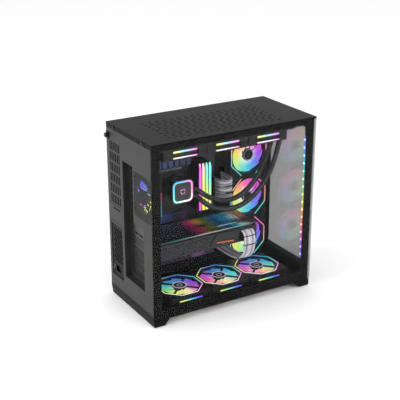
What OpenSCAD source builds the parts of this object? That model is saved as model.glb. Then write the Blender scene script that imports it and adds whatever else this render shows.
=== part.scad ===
// A desktop computer tower with a glass side and a glass front: a steel chassis in two chambers, a
// liquid cooled board with its graphics card in the glass one, the power supply behind the tray.
// X runs from the rear (-) to the front (+), the glass side is at -Y, the tower stands on Z = 0.

/* [Case] */
// Length of the case from its rear panel to its front glass
case_len = 476; // [470:1:500]
// Width of the case, from the glass side to the steel side
case_w = 238; // [236:1:250]
// Height of the case on its feet
case_h = 475; // [474:1:490]
// Height of the feet
foot_h = 17; // [14:1:20]
// Thickness of the steel sheet
sheet = 1.2; // [0.8:0.1:1.5]
// Thickness of the glass
glass_t = 4; // [3:0.5:5]
// How far the rear side-panel screw stands out of the rear
screw_out = 8; // [6:1:12]

/* [Rear window] */
// Depth of the recess that holds the ports and slot covers
recess = 17; // [12:1:22]
// Height of its lower edge
window_z = 83; // [80:1:86]
// Height of its upper edge
window_top = 396; // [394:1:398]

/* [Fans] */
// Side of a case fan
fan_w = 120; // [119:0.5:120]
// Depth of a case fan
fan_t = 25; // [24:0.5:25]
// Radius of the opening in a fan frame
fan_bore = 52; // [51:0.5:53]
// Radius over the tips of a rotor's blades
blade_r = 50.5; // [48:0.5:50.5]
// Blades on a rotor
blades = 9; // [7:1:11]
// Angle of a blade to its disc
blade_tilt = 40; // [30:1:45]

/* [Graphics card] */
// Length of the card, from its bracket
card_len = 301; // [280:1:310]
// Height of the card's upper face in the case
card_top = 210.5; // [210:0.5:211]
// Height of its cooler's lower face
card_bottom = 165; // [160:1:170]
// Distance of its free edge from the middle of the case
card_edge = 90; // [80:1:92]

/* [Memory] */
// Number of memory modules
sticks = 4; // [2:2:4]
// Distance between two modules
stick_pitch = 9.6; // [9:0.1:10]
// Length of a module
stick_len = 131; // [128:1:133]

/* [Hidden] */
rear_x = -(case_len + screw_out) / 2 + screw_out;
front_x = rear_x + case_len;
near_y = -case_w / 2;
far_y = case_w / 2;
top_z = case_h;
glass_y = near_y + glass_t;          // inner face of the side glass
body_far = far_y - sheet - 0.2;      // where the chassis stops, inside the steel side
floor_z = foot_h + 15;               // upper face of the floor
roof_z = top_z - 4;                  // upper face of the top frame
lip_z = top_z - 12.5;                // where the top panel's rear flange begins
glass_lo = foot_h + 3;
glass_hi = top_z - 5;
screw_y = far_y - 8;                 // the steel side's rear screw
screw_z = top_z - 33;
deep_x = rear_x + recess;            // outer face of the recessed plate
board_x = deep_x + sheet;            // rear edge of the motherboard
tray_y = 34;
board_y = 25.9;                      // front face of the motherboard
board_t = 1.6;
board_len = 244;
board_z = 92;
board_h = 305;
slot_pitch = 20.32;
slot_z0 = board_z + 12.7;            // middle of the lowest expansion slot
port_z = board_z + 141.5;            // lower edge of the ports' opening
port_h = 158.75;
port_w = 44.45;
port_y = -17.2;                      // near edge of the ports' opening
port_rows = [for (k = [0 : 7]) port_z + 6 + k * 18.8];
frame_x = front_x - glass_t - 19;    // rear face of the front frame
rib = 1.5;
column_top = roof_z - sheet - 0.3;
column_y = 74.4;                     // where the front glass ends and the front column begins
window_far = 70;                     // far edge of the front window
panel_y = 96;                        // middle of the button and sockets in the front column
fan_pitch = 120;
roof_fan_x = rear_x + 103;           // middle of the rearmost roof fan
roof_fan_z = top_z - 29;             // strut side of the roof fans
floor_fan_x = rear_x + 118;
floor_fan_z = floor_z + 0.5;
low_y = -38;                         // middle of the roof and floor fans
side_fan_x = front_x - 83.5;
side_fan_y = 85;                     // wall that carries the side fans, set back from the tray
side_fan_z = floor_z + 64;
fan_bay_x = 78;                      // where the tray steps back to that wall
fan_bay_top = 402;
rear_fan_w = 92;
rear_fan_y = glass_y + 0.3 + rear_fan_w / 2;
rear_fan_z = 332;
rad_x = rear_x + 33;
rad_len = 394;
rad_z = roof_fan_z;
fitting_x = rad_x + rad_len - 12;
pump_x = -98;
pump_z = 308;
stick_x = -44;
stick_z = 241;
card_x = deep_x + sheet;
supply_x = rear_x + sheet + 0.3;
supply = [140, 67, 150];
supply_y = 43;
supply_z = 61;
supply_fan = [supply_x + 78, supply_y + 18, supply_z + 75];
card_fans = [45, 139, 233];          // distance of the card's fans from its bracket
card_far = 7.5;                      // the card's edge towards the board
card_fan_y = -40;
card_fan_r = 42;
cable_gap = 8.6;                     // half the distance between the card's two cables
run = 0.05;                          // clearance of a rotor on its pin
pin_r = 3;

// Routes of the two coolant tubes, from the pump up to the radiator
tube_r = 5.8;
near_tube = [[-61, -16, 288], [-56, -20, 286], [-49, -32, 279], [-38, -41, 268], [-20, -48, 256],
             [4, -52, 249], [36, -56, 247], [70, -57, 255], [102, -57, 274], [131, -56, 304],
             [156, -55, 345], [172, -53, 390], [180, -52, 420], [181, -52, 437]];
far_tube = [[-61, -16, 306], [-56, -20, 305], [-50, -30, 300], [-38, -36, 290], [-20, -39, 279],
            [6, -41, 269], [36, -42, 266], [66, -41, 272], [98, -38, 290], [128, -34, 320],
            [152, -30, 360], [169, -27, 400], [179, -24, 422], [181, -24, 437]];
// Route of the graphics card's power cable: out of the card, down, and back to the tray
card_cable = [[54, -90.1, 194], [54, -97, 193], [54, -103, 187], [54, -106, 172], [54, -105, 150],
              [53, -98, 130], [51, -82, 116], [49, -60, 110], [48, -30, 108], [47, 5, 108],
              [47, 44, 110]];

// ---------- shared helpers ----------

// A plate in the YZ plane, from x to x + t
module plate_x(x, t) translate([x, 0, 0]) rotate([90, 0, 90]) linear_extrude(t) children();
// A plate in the XZ plane, from y to y + t
module plate_y(y, t) translate([0, y + t, 0]) rotate([90, 0, 0]) linear_extrude(t) children();
// A plate in the XY plane, from z to z + t
module plate_z(z, t) translate([0, 0, z]) linear_extrude(t) children();

// A box from its lowest corner to its highest
module block(lo, hi) translate(lo) cube(hi - lo);

// A flat rectangle from corner to corner
module patch(lo, hi) translate(lo) square(hi - lo);

// A flat rectangle with round corners, about its middle
module round_patch(w, h, r) {
    square([w - 2 * r, h], center = true);
    square([w, h - 2 * r], center = true);
    for (x = [-1, 1], y = [-1, 1])
        translate([x * (w / 2 - r), y * (h / 2 - r)]) circle(r, $fn = 32);
}

// Hexagonal holes on a staggered grid inside a rectangle
module hex_grid(lo, hi, pitch, r) {
    row = pitch * 0.866;
    rows = floor((hi[1] - lo[1] - 2 * r) / row);
    cols = floor((hi[0] - lo[0] - 2 * r - pitch / 2) / pitch);
    for (j = [0 : rows], i = [0 : cols])
        translate([lo[0] + r + i * pitch + (j % 2) * pitch / 2, lo[1] + r + j * row])
            rotate(30) circle(r, $fn = 6);
}

// A path through the given points, with extra points between them
function blend_point(a, b, c, d, t) = 0.5 * ((2 * b) + (c - a) * t
    + (2 * a - 5 * b + 4 * c - d) * t * t + (3 * b - a - 3 * c + d) * t * t * t);
function smooth_path(p, n) = concat(
    [for (i = [0 : len(p) - 2], k = [0 : n - 1])
        blend_point(p[max(i - 1, 0)], p[i], p[i + 1], p[min(i + 2, len(p) - 1)], k / n)],
    [p[len(p) - 1]]);
function unit(v) = v / norm(v);
function heading(p, i) = unit(p[min(i + 1, len(p) - 1)] - p[max(i - 1, 0)]);

// A closed bar that carries a flat outline along a path; side is kept level with the outline's x
module sweep_bar(path, outline, side) {
    n = len(outline);
    last = len(path) - 1;
    rings = [for (i = [0 : last])
        let (t = heading(path, i), s = unit(side - (side * t) * t), u = cross(t, s))
        for (q = outline) path[i] + q[0] * s + q[1] * u];
    walls = [for (i = [0 : last - 1], k = [0 : n - 1])
        [i * n + k, i * n + (k + 1) % n, (i + 1) * n + (k + 1) % n, (i + 1) * n + k]];
    ends = [[for (k = [n - 1 : -1 : 0]) k], [for (k = [0 : n - 1]) last * n + k]];
    polyhedron(points = rings, faces = concat(walls, ends), convexity = 6);
}
function ring_outline(r, n) = [for (k = [0 : n - 1]) r * [cos(-360 * k / n), sin(-360 * k / n)]];
function flat_outline(w, t) = [[-w / 2, t / 2], [w / 2, t / 2], [w / 2, -t / 2], [-w / 2, -t / 2]];

// ---------- fans ----------

// A fan frame about Z: struts and pin at Z = 0, open side at Z = t
module fan_frame(w, t, bore, hole_pitch) {
    difference() {
        linear_extrude(t) difference() {
            round_patch(w, w, 6);
            circle(bore, $fn = 64);
            for (x = [-1, 1], y = [-1, 1])
                translate([x, y] * hole_pitch / 2) circle(2.15, $fn = 24);
        }
        for (a = [0 : 90 : 270]) rotate(a)
            translate([w / 2 - 2.5, 0, t / 2]) cube([5.1, w * 0.62, t - 10], center = true);
    }
    linear_extrude(3) intersection() {
        circle(bore + 1, $fn = 64);
        union() {
            circle(19, $fn = 48);
            for (a = [45, 135]) rotate(a) square([2.4 * bore, 5], center = true);
        }
    }
    translate([0, 0, 2]) cylinder(r = pin_r, h = 12, $fn = 32);
}

// A rotor about Z on its pin, with flat blades set at an angle
module fan_rotor(r, hub, z0, h, count) {
    difference() {
        union() {
            translate([0, 0, z0]) cylinder(r = hub, h = h, $fn = 48);
            intersection() {
                translate([0, 0, z0 + 0.5]) cylinder(r = r, h = h - 1, $fn = 64);
                for (k = [0 : count - 1]) rotate(360 / count * k)
                    translate([(hub + r) / 2, 0, z0 + h / 2]) rotate([blade_tilt, 0, 0])
                        cube([r - hub + 4, h * 1.2, 1.6], center = true);
            }
        }
        translate([0, 0, z0 - 1]) cylinder(r = pin_r + run, h = 11.2, $fn = 32);
    }
}

module at_roof(i) translate([roof_fan_x + fan_pitch * i, low_y, roof_fan_z]) rotate([180, 0, 0])
    children();
module at_floor(i) translate([floor_fan_x + fan_pitch * i, low_y, floor_fan_z + fan_t])
    rotate([180, 0, 0]) children();
module at_side(i) translate([side_fan_x, side_fan_y, side_fan_z + fan_pitch * i]) rotate([90, 0, 0])
    children();
module at_rear() translate([rear_x + sheet + 0.3, rear_fan_y, rear_fan_z]) rotate([0, 90, 0])
    children();

module case_fan_frame() fan_frame(fan_w - 0.2, fan_t, fan_bore, 105);
module case_rotor() fan_rotor(blade_r, 19, 4, 19, blades);

// ---------- chassis ----------

module floor_pan() color("#1c1c1e") {
    plate_z(floor_z - sheet, sheet) difference() {
        patch([rear_x, glass_y + 0.3], [frame_x - 0.2, body_far]);
        for (i = [0 : 2]) translate([floor_fan_x + fan_pitch * i, low_y]) circle(fan_bore, $fn = 64);
    }
    skirt_z = foot_h;
    block([rear_x, glass_y + 0.3, skirt_z], [rear_x + sheet, body_far, floor_z - sheet]);
    block([rear_x + sheet, glass_y + 0.3, skirt_z],
        [frame_x - 0.2, glass_y + 0.3 + sheet, floor_z - sheet]);
    for (x = [rear_x + 20, front_x - 56])
        block([x, glass_y + 2, skirt_z], [x + 22, body_far - 1, floor_z - sheet]);
    block([rear_x + sheet, glass_y + 0.3, floor_z], [frame_x - 0.2, glass_y + 6.5, floor_z + 12]);
}

// Outline of the recessed window in the rear panel, grown by g
module rear_window(g) {
    patch([-20 - g, window_z - g], [33 + g, window_top + g]);
    patch([-72 - g, window_z - g], [33 + g, 250 + g]);
}

module rear_panel() color("#4a4a4b") {
    plate_x(rear_x, sheet) difference() {
        patch([glass_y, floor_z], [body_far, lip_z - 0.2]);
        rear_window(0);
        // upper vent of upright slots
        for (j = [0 : 5], i = [0 : 5])
            patch([48 + i * 9.6, 268 + j * 28], [53.5 + i * 9.6, 291 + j * 28]);
        // opening of the power supply
        patch([supply_y + 2, supply_z + 2], [supply_y + supply[1] - 2, supply_z + supply[2] - 2]);
        hex_grid([-113, 274], [-23, 392], 6.6, 2.7);
        translate([screw_y, screw_z]) circle(2.2, $fn = 24);
    }
    // walls of the recess
    plate_x(rear_x + sheet, recess) difference() {
        rear_window(sheet);
        rear_window(0);
    }
    plate_x(deep_x, sheet) difference() {
        rear_window(0);
        patch([port_y, port_z], [port_y + port_w, port_z + port_h]);
        for (k = [0 : 6])
            patch([-66, slot_z0 - 7.4 + slot_pitch * k], [24, slot_z0 + 7.4 + slot_pitch * k]);
    }
    // ledge over the power supply, with its small pull tab
    block([rear_x - 0.8, 44, 213.5], [rear_x, 112, 215.5]);
    block([rear_x - 0.8, 44, 262], [rear_x, 112, 263.5]);
    block([rear_x - 2.2, 58, 251.5], [rear_x, 90, 254]);
}

module motherboard_tray() color("#161617") {
    bay_end = frame_x - 0.2;
    plate_y(tray_y, sheet) difference() {
        patch([deep_x + sheet + 0.2, floor_z], [bay_end, roof_z - sheet - 0.2]);
        patch([fan_bay_x, floor_z - 1], [bay_end + 1, fan_bay_top]);
        patch([34, 230], [64.5, 330]);
        patch([16, 98], [64.5, 130]);
        patch([-150, 36], [-60, 62]);
    }
    // the bay of the side fans: its wall, its side and its roof
    plate_y(side_fan_y, sheet) difference() {
        patch([fan_bay_x, floor_z], [bay_end, fan_bay_top]);
        for (i = [0 : 2])
            translate([side_fan_x, side_fan_z + fan_pitch * i]) circle(fan_bore, $fn = 64);
    }
    block([fan_bay_x, tray_y, floor_z], [fan_bay_x + sheet, side_fan_y + sheet, fan_bay_top]);
    block([fan_bay_x, tray_y, fan_bay_top], [bay_end, side_fan_y + sheet, fan_bay_top + sheet]);
    // standoffs of the board
    for (x = [8, 130, 234], z = [10, 150, 290])
        translate([board_x + x, tray_y, board_z + z]) rotate([90, 0, 0])
            cylinder(r = 3, h = tray_y - board_y - board_t, $fn = 6);
}

// A square tube frame round the front opening, open to the front
module front_frame() color("#19191a") {
    depth = front_x - glass_t - 0.3 - frame_x;
    plate_x(frame_x, rib) front_ring(0);
    plate_x(frame_x + rib, depth - rib) difference() {
        front_ring(0);
        front_ring(rib);
    }
    // partition beside the front column
    block([frame_x, window_far + 2, floor_z], [frame_x + rib, body_far, roof_z - sheet - 0.2]);
}
module front_ring(g) difference() {
    patch([glass_y + 0.5 + g, foot_h + 0.4 + g], [window_far + 2 - g, roof_z - sheet - 0.4 - g]);
    patch([-104 - g, 67 - g], [window_far + g, 447 + g]);
}

module top_frame() color("#19191a") {
    plate_z(roof_z - sheet, sheet) difference() {
        patch([rear_x + sheet + 0.2, glass_y + 0.5], [front_x - glass_t - 0.5, body_far]);
        patch([rad_x + 14, low_y - 56], [rad_x + rad_len - 30, low_y + 56]);
        patch([rear_x + 30, 52], [frame_x - 20, 104]);
    }
    for (y = [glass_y + 0.5, body_far - sheet])
        block([rear_x + sheet + 0.2, y, roof_z - 13], [frame_x - 0.3, y + sheet, roof_z - sheet]);
}

module front_glass() color("#20242888")
    block([front_x - glass_t, near_y, glass_lo], [front_x, column_y - 0.4, glass_hi]);

// Folded steel column beside the front glass; the button and sockets sit in it
module front_column() color("#1d1d1e") difference() {
    block([frame_x + rib + 0.2, column_y, foot_h + 0.4], [front_x, body_far, column_top]);
    block([frame_x, column_y + rib, foot_h + rib + 0.4], [front_x - rib, body_far - rib, column_top - rib]);
    translate([front_x - rib - 1, panel_y, 0]) {
        translate([0, 0, 438]) rotate([0, 90, 0]) cylinder(r = 8, h = 5, $fn = 48);
        for (z = [404, 384]) block([0, -6.8, z - 3.2], [5, 6.8, z + 3.2]);
        block([0, -5, 366.2], [5, 5, 369.8]);
        translate([0, 0, 352]) rotate([0, 90, 0]) cylinder(r = 3, h = 5, $fn = 32);
    }
}

module front_ports() color("#2b2b2d") translate([front_x, panel_y, 0]) {
    for (z = [404, 384]) difference() {
        block([-16, -6.6, z - 3], [-0.4, 6.6, z + 3]);
        block([-12, -5.8, z - 2.2], [1, 5.8, z + 2.2]);
    }
    for (z = [404, 384]) block([-13, -4.6, z - 1], [-1.4, 4.6, z + 1]);
    difference() {
        block([-14, -4.8, 366.4], [-0.4, 4.8, 369.6]);
        block([-10, -4, 367], [1, 4, 369]);
    }
    translate([-14, 0, 352]) rotate([0, 90, 0]) difference() {
        cylinder(r = 2.9, h = 13.6, $fn = 32);
        translate([0, 0, 2]) cylinder(r = 1.8, h = 14, $fn = 32);
    }
    block([-17, -12, 344], [-16, 12, 446]);
}

// Two trapezoid rails across the tower
module foot_rails() color("#202021") {
    pad = 2;
    plate_y(near_y + 2, case_w - 4)
        polygon([[rear_x, foot_h], [rear_x + 2, pad], [rear_x + 32, pad], [rear_x + 44, foot_h]]);
    plate_y(near_y + 2, case_w - 4)
        polygon([[front_x - 51, foot_h], [front_x - 31, pad], [front_x - 1, pad], [front_x, foot_h]]);
}

module foot_pads() color("#0e0e0e")
    for (x = [rear_x + 17, front_x - 16], y = [near_y + 22, far_y - 22])
        translate([x, y, 0]) linear_extrude(2) round_patch(24, 34, 5);

// Strip of lights on the front post, and its clear cover
module led_strip() color("#c8d4ff") {
    block([frame_x - 2.2, -110, 84], [frame_x, -104.6, 424]);
    for (z = [92 : 21.3 : 412])
        block([frame_x - 3.4, -109.2, z], [frame_x - 2.2, -105.4, z + 6]);
}

// ---------- board and what it carries ----------

module slot_covers() color("#3c3c3d")
    for (k = [0 : 3]) {
        z = slot_z0 + slot_pitch * k;
        plate_x(deep_x - 1.1, 1) difference() {
            patch([-70, z - 9], [26, z + 9]);
            for (j = [-1, 0, 1]) patch([-60, z + j * 5 - 1.3], [18, z + j * 5 + 1.3]);
        }
    }

module motherboard() color("#101214")
    plate_y(board_y, board_t)
        patch([board_x + 0.3, board_z], [board_x + board_len, board_z + board_h]);

module rear_ports() color("#26282b") {
    // the shield, with the sockets behind it
    plate_x(deep_x + 0.2, 0.8) difference() {
        patch([port_y + 0.3, port_z + 0.3], [port_y + port_w - 0.3, port_z + port_h - 0.3]);
        for (z = port_rows, y = [-12, 5]) patch([y + 0.6, z + 0.6], [y + 14.4, z + 14.4]);
    }
    for (z = port_rows, y = [-12, 5]) difference() {
        block([deep_x + 1.2, y, z], [deep_x + 15, y + 15, z + 15]);
        block([deep_x, y + 1, z + 1], [deep_x + 12, y + 14, z + 14]);
    }
}

module port_cover() color("#1a1c20") difference() {
    block([deep_x + 16, -22, port_z + 4], [deep_x + 46, board_y - 0.2, port_z + port_h - 4]);
    translate([deep_x + 46, -22, port_z]) rotate([0, 0, 45]) cube([18, 18, 400], center = true);
}

module board_heatsinks() color("#23262e") {
    for (k = [0 : 5]) block([board_x + 58 + k * 17, -4, 368], [board_x + 70 + k * 17, 18, 393]);
    block([board_x + 52, 18, 366], [board_x + 162, board_y - 0.2, 394]);
}

// Covers of the board's drives and chipset, below the card
module board_plates() color("#20222a") {
    block([board_x + 60, 15, 108], [board_x + 150, board_y - 0.2, 132]);
    block([board_x + 168, 13, 100], [board_x + 232, board_y - 0.2, 156]);
    block([board_x + 40, 17, 140], [board_x + 150, board_y - 0.2, 160]);
    block([board_x + 40, 17, 214], [board_x + 150, board_y - 0.2, 236]);
}

module board_sockets() color("#141416") {
    for (i = [0 : sticks - 1]) {
        x = stick_x + i * stick_pitch;
        block([x - 3, 19, stick_z], [x + 3, board_y, stick_z + stick_len]);
    }
    for (k = [3, 5]) block([board_x + 50, 15, slot_z0 + slot_pitch * k - 3.7],
        [board_x + 140, board_y, slot_z0 + slot_pitch * k + 3.7]);
    block([17, 13.2, 258], [27, board_y, 312]);
    block([pump_x - 27, 20, pump_z - 27], [pump_x + 27, board_y, pump_z + 27]);
}

module memory_modules() color("#17171a") for (i = [0 : sticks - 1]) {
    x = stick_x + i * stick_pitch;
    block([x - 3.4, -20, stick_z + 1], [x + 3.4, 14, stick_z + stick_len - 1]);
    block([x - 0.7, 14, stick_z + 4], [x + 0.7, 19, stick_z + stick_len - 4]);
}

module memory_lights() color("#f5c6ff") for (i = [0 : sticks - 1])
    plate_x(stick_x + i * stick_pitch - 2.4, 4.8)
        polygon([[-20, stick_z + 2], [-25, stick_z + 4], [-25, stick_z + stick_len - 14],
            [-20, stick_z + stick_len - 2]]);

// Broad sleeved cable that arches from the board's edge to the tray
module main_power_cable() color("#c9c6cf") {
    mid = 42;
    arch = 19.5;
    for (dx = [-arch, arch]) block([mid + dx - 2.5, 1, 259], [mid + dx + 2.5, dx < 0 ? 13 : 46, 311]);
    translate([mid, 1, 259]) rotate([0, 0, 180]) rotate_extrude(angle = 180, $fn = 48)
        translate([arch - 2.5, 0]) square([5, 52]);
}

module card_power_cable() color("#c9c6cf")
    for (dx = [-cable_gap, cable_gap])
        sweep_bar(smooth_path([for (p = card_cable) p + [dx, 0, 0]], 3), flat_outline(16, 5),
            [1, 0, 0]);

module cable_combs() color("#111112") {
    // on the main cable
    for (z = [275.5, 293]) block([33, -23.6, z], [52, -21.2, z + 2.5]);
    // on the card's cable, and its plugs
    for (dx = [-cable_gap, cable_gap])
        block([54 + dx - 8.4, -90, 186], [54 + dx + 8.4, -85.2, 202]);
}

// ---------- cooling ----------

module pump_head() color("#141517") {
    translate([pump_x, 0, pump_z]) rotate([90, 0, 0]) {
        translate([0, 0, -20]) cylinder(r = 31, h = 40, $fn = 64);
        translate([0, 0, 20]) linear_extrude(8) difference() {
            round_patch(62, 62, 14);
            round_patch(56.4, 56.4, 12);
        }
        translate([0, 0, 20]) linear_extrude(8) round_patch(47.6, 47.6, 9);
    }
    // elbows for the tubes
    for (z = [288, 306]) translate([pump_x + 20, -13.8, z]) rotate([0, 90, 0])
        cylinder(r = 4.6, h = 18, $fn = 32);
}

module pump_light() color("#9fd8ff") translate([pump_x, 0, pump_z]) rotate([90, 0, 0])
    translate([0, 0, 20]) linear_extrude(8.6) difference() {
        round_patch(56, 56, 12);
        round_patch(48, 48, 9);
    }

module coolant_tubes() color("#0f0f10") for (route = [near_tube, far_tube])
    sweep_bar(smooth_path(route, 3), ring_outline(tube_r, 12), [0, 1, 0]);

module radiator() color("#141414") {
    y0 = low_y - 60;
    y1 = low_y + 60;
    low = rad_z + 0.2;
    high = roof_z - sheet - 0.3;
    core = [rad_x + 14, rad_x + rad_len - 24];
    block([rad_x, y0, low], [core[0], y1, high]);
    block([core[1], y0, low], [rad_x + rad_len, y1, high]);
    for (y = [y0, y1 - 1.2]) block([core[0], y, low], [core[1], y + 1.2, high]);
    for (y = [y0 + 5 : 9.6 : y1 - 8]) block([core[0], y, low + 1.8], [core[1], y + 4, high - 1.7]);
    for (y = [-52, -24]) translate([fitting_x, y, rad_z - 9]) cylinder(r = 4.6, h = 10, $fn = 32);
}

module roof_fan_frames() color("#161617") for (i = [0 : 2]) at_roof(i) case_fan_frame();
module side_fan_frames() color("#161617") for (i = [0 : 2]) at_side(i) case_fan_frame();
module floor_fan_frames() color("#161617") for (i = [0 : 2]) at_floor(i) case_fan_frame();
module rear_fan_frame() color("#161617") at_rear() fan_frame(rear_fan_w, fan_t, 42, 82.5);

// One stretch of an eight-sided light outline
module light_edge(a, apothem) rotate(a) translate([apothem, 0])
    polygon([[-1, -apothem * 0.405], [1, -apothem * 0.42],
        [1, apothem * 0.42], [-1, apothem * 0.405]]);

module fan_lights() color("#b8f4f0") {
    proud = 0.8;
    for (i = [0 : 2]) {
        at_side(i) translate([0, 0, fan_t]) linear_extrude(proud)
            for (a = [0, 45, 135, 180, 225, 315]) light_edge(a, 55.5);
        at_floor(i) translate([0, 0, -proud]) linear_extrude(proud)
            for (a = [0 : 45 : 315]) light_edge(a, 55.5);
        for (z = [roof_fan_z - 7, roof_fan_z - 22])
            block([roof_fan_x + fan_pitch * i - 33, low_y - fan_w / 2 - 0.8, z],
                [roof_fan_x + fan_pitch * i + 33, low_y - fan_w / 2 + 0.1, z + 3]);
        for (z = [floor_fan_z + 4, floor_fan_z + 19])
            block([floor_fan_x + fan_pitch * i - 33, low_y - fan_w / 2 - 0.8, z],
                [floor_fan_x + fan_pitch * i + 33, low_y - fan_w / 2 + 0.1, z + 3]);
    }
}

// ---------- graphics card ----------

module card_shroud() color("#131315") {
    x0 = card_x + 2;
    x1 = card_x + card_len;
    well = card_fan_r + 1.5;
    well_h = 16;
    plate_z(card_bottom, well_h) difference() {
        patch([x0, -card_edge], [x1, card_far]);
        for (x = card_fans) translate([card_x + x, card_fan_y]) circle(well, $fn = 64);
    }
    plate_z(card_bottom + well_h, 204.5 - card_bottom - well_h) difference() {
        patch([x0, -card_edge], [x1, card_far]);
        patch([x0 + 3, -card_edge + 3], [x1 - 3, card_far + 2]);
        // notch of the power sockets
        patch([34, -card_edge - 1], [74, -card_edge + 5]);
    }
    // struts and pins of its fans
    plate_z(card_bottom + 13, 3) for (x = card_fans) translate([card_x + x, card_fan_y])
        intersection() {
            circle(well + 2.5, $fn = 64);
            union() {
                circle(14, $fn = 48);
                for (a = [45, 135]) rotate(a) square([2.4 * well, 4], center = true);
            }
        }
    for (x = card_fans) translate([card_x + x, card_fan_y, card_bottom + 4])
        cylinder(r = pin_r, h = 10, $fn = 32);
}

module card_backplate() color("#0c0d10") difference() {
    block([card_x + 2, -card_edge, 208.5], [card_x + card_len, card_far, card_top]);
    for (x = [card_x + 232 : 11 : card_x + 280]) block([x, -60, 208], [x + 5, -10, card_top + 1]);
}

module card_heatsink() color("#8d9096") {
    block([card_x + 8, -card_edge + 6, 201], [card_x + card_len - 8, card_far - 0.5, 204.8]);
    for (x = [card_x + 10 : 10.3 : card_x + 290])
        block([x, -card_edge + 8.4, 182], [x + 1.5, 6, 201]);
    // the card's circuit board, with its edge in the slot
    block([card_x + 2, -card_edge + 8, 205], [card_x + card_len - 6, card_far, 206.8]);
    block([card_x + 49, card_far, 205.2], [card_x + 138, 14.8, 206.8]);
}

module card_bracket() color("#55575a") plate_x(deep_x - 1.1, 1) difference() {
    patch([-70, slot_z0 + slot_pitch * 4 - 9.4], [26, slot_z0 + slot_pitch * 6 + 9]);
    for (j = [0 : 3], i = [0 : 9]) patch([-64 + i * 8, 182 + j * 6], [-58.5 + i * 8, 185.5 + j * 6]);
    for (i = [0 : 2]) patch([-62 + i * 24, 211], [-44 + i * 24, 217]);
}

// ---------- behind the tray ----------

// A box at the rear of the power supply, given from its lowest corner
module supply_block(lo, hi)
    block([supply_x, supply_y, supply_z] + lo, [supply_x, supply_y, supply_z] + hi);

module power_supply() color("#1b1b1c") {
    wall = 1.5;
    inside = [wall, wall, wall];
    difference() {
        supply_block([0, 0, 0], supply);
        supply_block(inside, supply - inside);
        // grille of its rear, inlet and switch
        plate_x(supply_x - 1, 4) hex_grid([supply_y + 6, supply_z + 44],
            [supply_y + supply[1] - 6, supply_z + supply[2] - 6], 9, 3.6);
        supply_block([-1, 20, 14], [4, 47.5, 34]);
        supply_block([-1, 52.2, 14], [4, 63.8, 34]);
        translate([supply_fan[0], supply_y + supply[1] - 3, supply_fan[2]]) rotate([-90, 0, 0])
            cylinder(r = 56, h = 6, $fn = 64);
    }
    // socket of the mains lead
    difference() {
        supply_block([-0.2, 20.2, 14.2], [18, 47.3, 33.8]);
        supply_block([-1, 22, 16], [16, 45.5, 32]);
    }
    for (y = [27, 33.7, 40.4]) supply_block([2, y - 1, 21], [16.5, y + 1, 27]);
    // bridge and pin of its fan
    translate([supply_fan[0], supply_y + supply[1] - 24, supply_fan[2]]) rotate([-90, 0, 0]) {
        for (a = [0, 90]) rotate(a) translate([-72, -3, 0]) cube([a == 0 ? 140 : 144, 6, 3]);
        cylinder(r = 16, h = 3, $fn = 48);
        cylinder(r = pin_r, h = 12, $fn = 32);
    }
    // rocker pivot
    for (y = [52.4, 62.8]) supply_block([4, y, 18], [10, y + 0.8, 30]);
}

module storage_drive() color("#2f3133") {
    low = 396;
    block([-62, tray_y + sheet + 3, low], [38, tray_y + sheet + 10, low + 69.8]);
    for (x = [-58, 26], z = [low + 4, low + 60])
        block([x, tray_y + sheet, z], [x + 8, tray_y + sheet + 3, z + 6]);
}

// ---------- covers ----------

// Slanted slots of the roof vent, in staggered rows
module top_vent() {
    rows = 16;
    for (j = [0 : rows - 1]) {
        y = -92 + j * 9.6;
        reach = 178 - 16 * (j % 4 == 0 ? 1 : j % 4 == 2 ? 1.6 : 0);
        count = floor(2 * reach / 20);
        for (i = [0 : count - 1]) {
            x = -reach + i * 20 + (j % 2) * 7 + 4;
            translate([x, y]) polygon([[-5, -1.6], [4, -1.6], [6, 1.6], [-3, 1.6]]);
        }
    }
}

module top_panel() color("#252526") {
    plate_z(top_z - sheet, sheet) difference() {
        patch([rear_x, near_y], [front_x, far_y]);
        top_vent();
    }
    low = glass_hi + 0.5;
    under = top_z - sheet;
    block([rear_x + sheet, near_y, low], [front_x, near_y + sheet, under]);
    block([rear_x + sheet, far_y - sheet, low], [front_x, far_y, under]);
    block([front_x - sheet, near_y + sheet, low], [front_x, far_y - sheet, under]);
    plate_x(rear_x, sheet) difference() {
        union() {
            patch([near_y, low], [far_y, under]);
            patch([glass_y + 0.3, lip_z], [body_far, under]);
        }
        for (y = [-73, 79]) translate([y, top_z - 6.5]) circle(1.8, $fn = 24);
    }
}

// Screw with a round head along +X, from the rear
module panel_screw(head_r, head_t, shank_r, len) rotate([0, 90, 0]) {
    translate([0, 0, -head_t]) cylinder(r = head_r, h = head_t, $fn = 32);
    translate([0, 0, -0.1]) cylinder(r = shank_r, h = len, $fn = 24);
}

module top_panel_screws() color("#2c2c2d")
    for (y = [-73, 79]) translate([rear_x, y, top_z - 6.5]) panel_screw(3.2, 1.6, 1.75, 1.35);

module side_glass() color("#15181b66")
    block([rear_x, near_y, glass_lo], [front_x - glass_t - 0.4, glass_y, glass_hi]);

module far_panel() color("#232324") {
    plate_y(far_y - sheet, sheet) patch([rear_x, glass_lo], [front_x, glass_hi]);
    // rear flange with its screw hole
    plate_x(rear_x - sheet - 0.1, sheet) difference() {
        patch([screw_y - 9, screw_z - 9], [far_y, screw_z + 9]);
        translate([screw_y, screw_z]) circle(2.2, $fn = 24);
    }
    block([rear_x - 0.1, far_y - sheet, screw_z - 9], [rear_x, far_y, screw_z + 9]);
}

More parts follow.
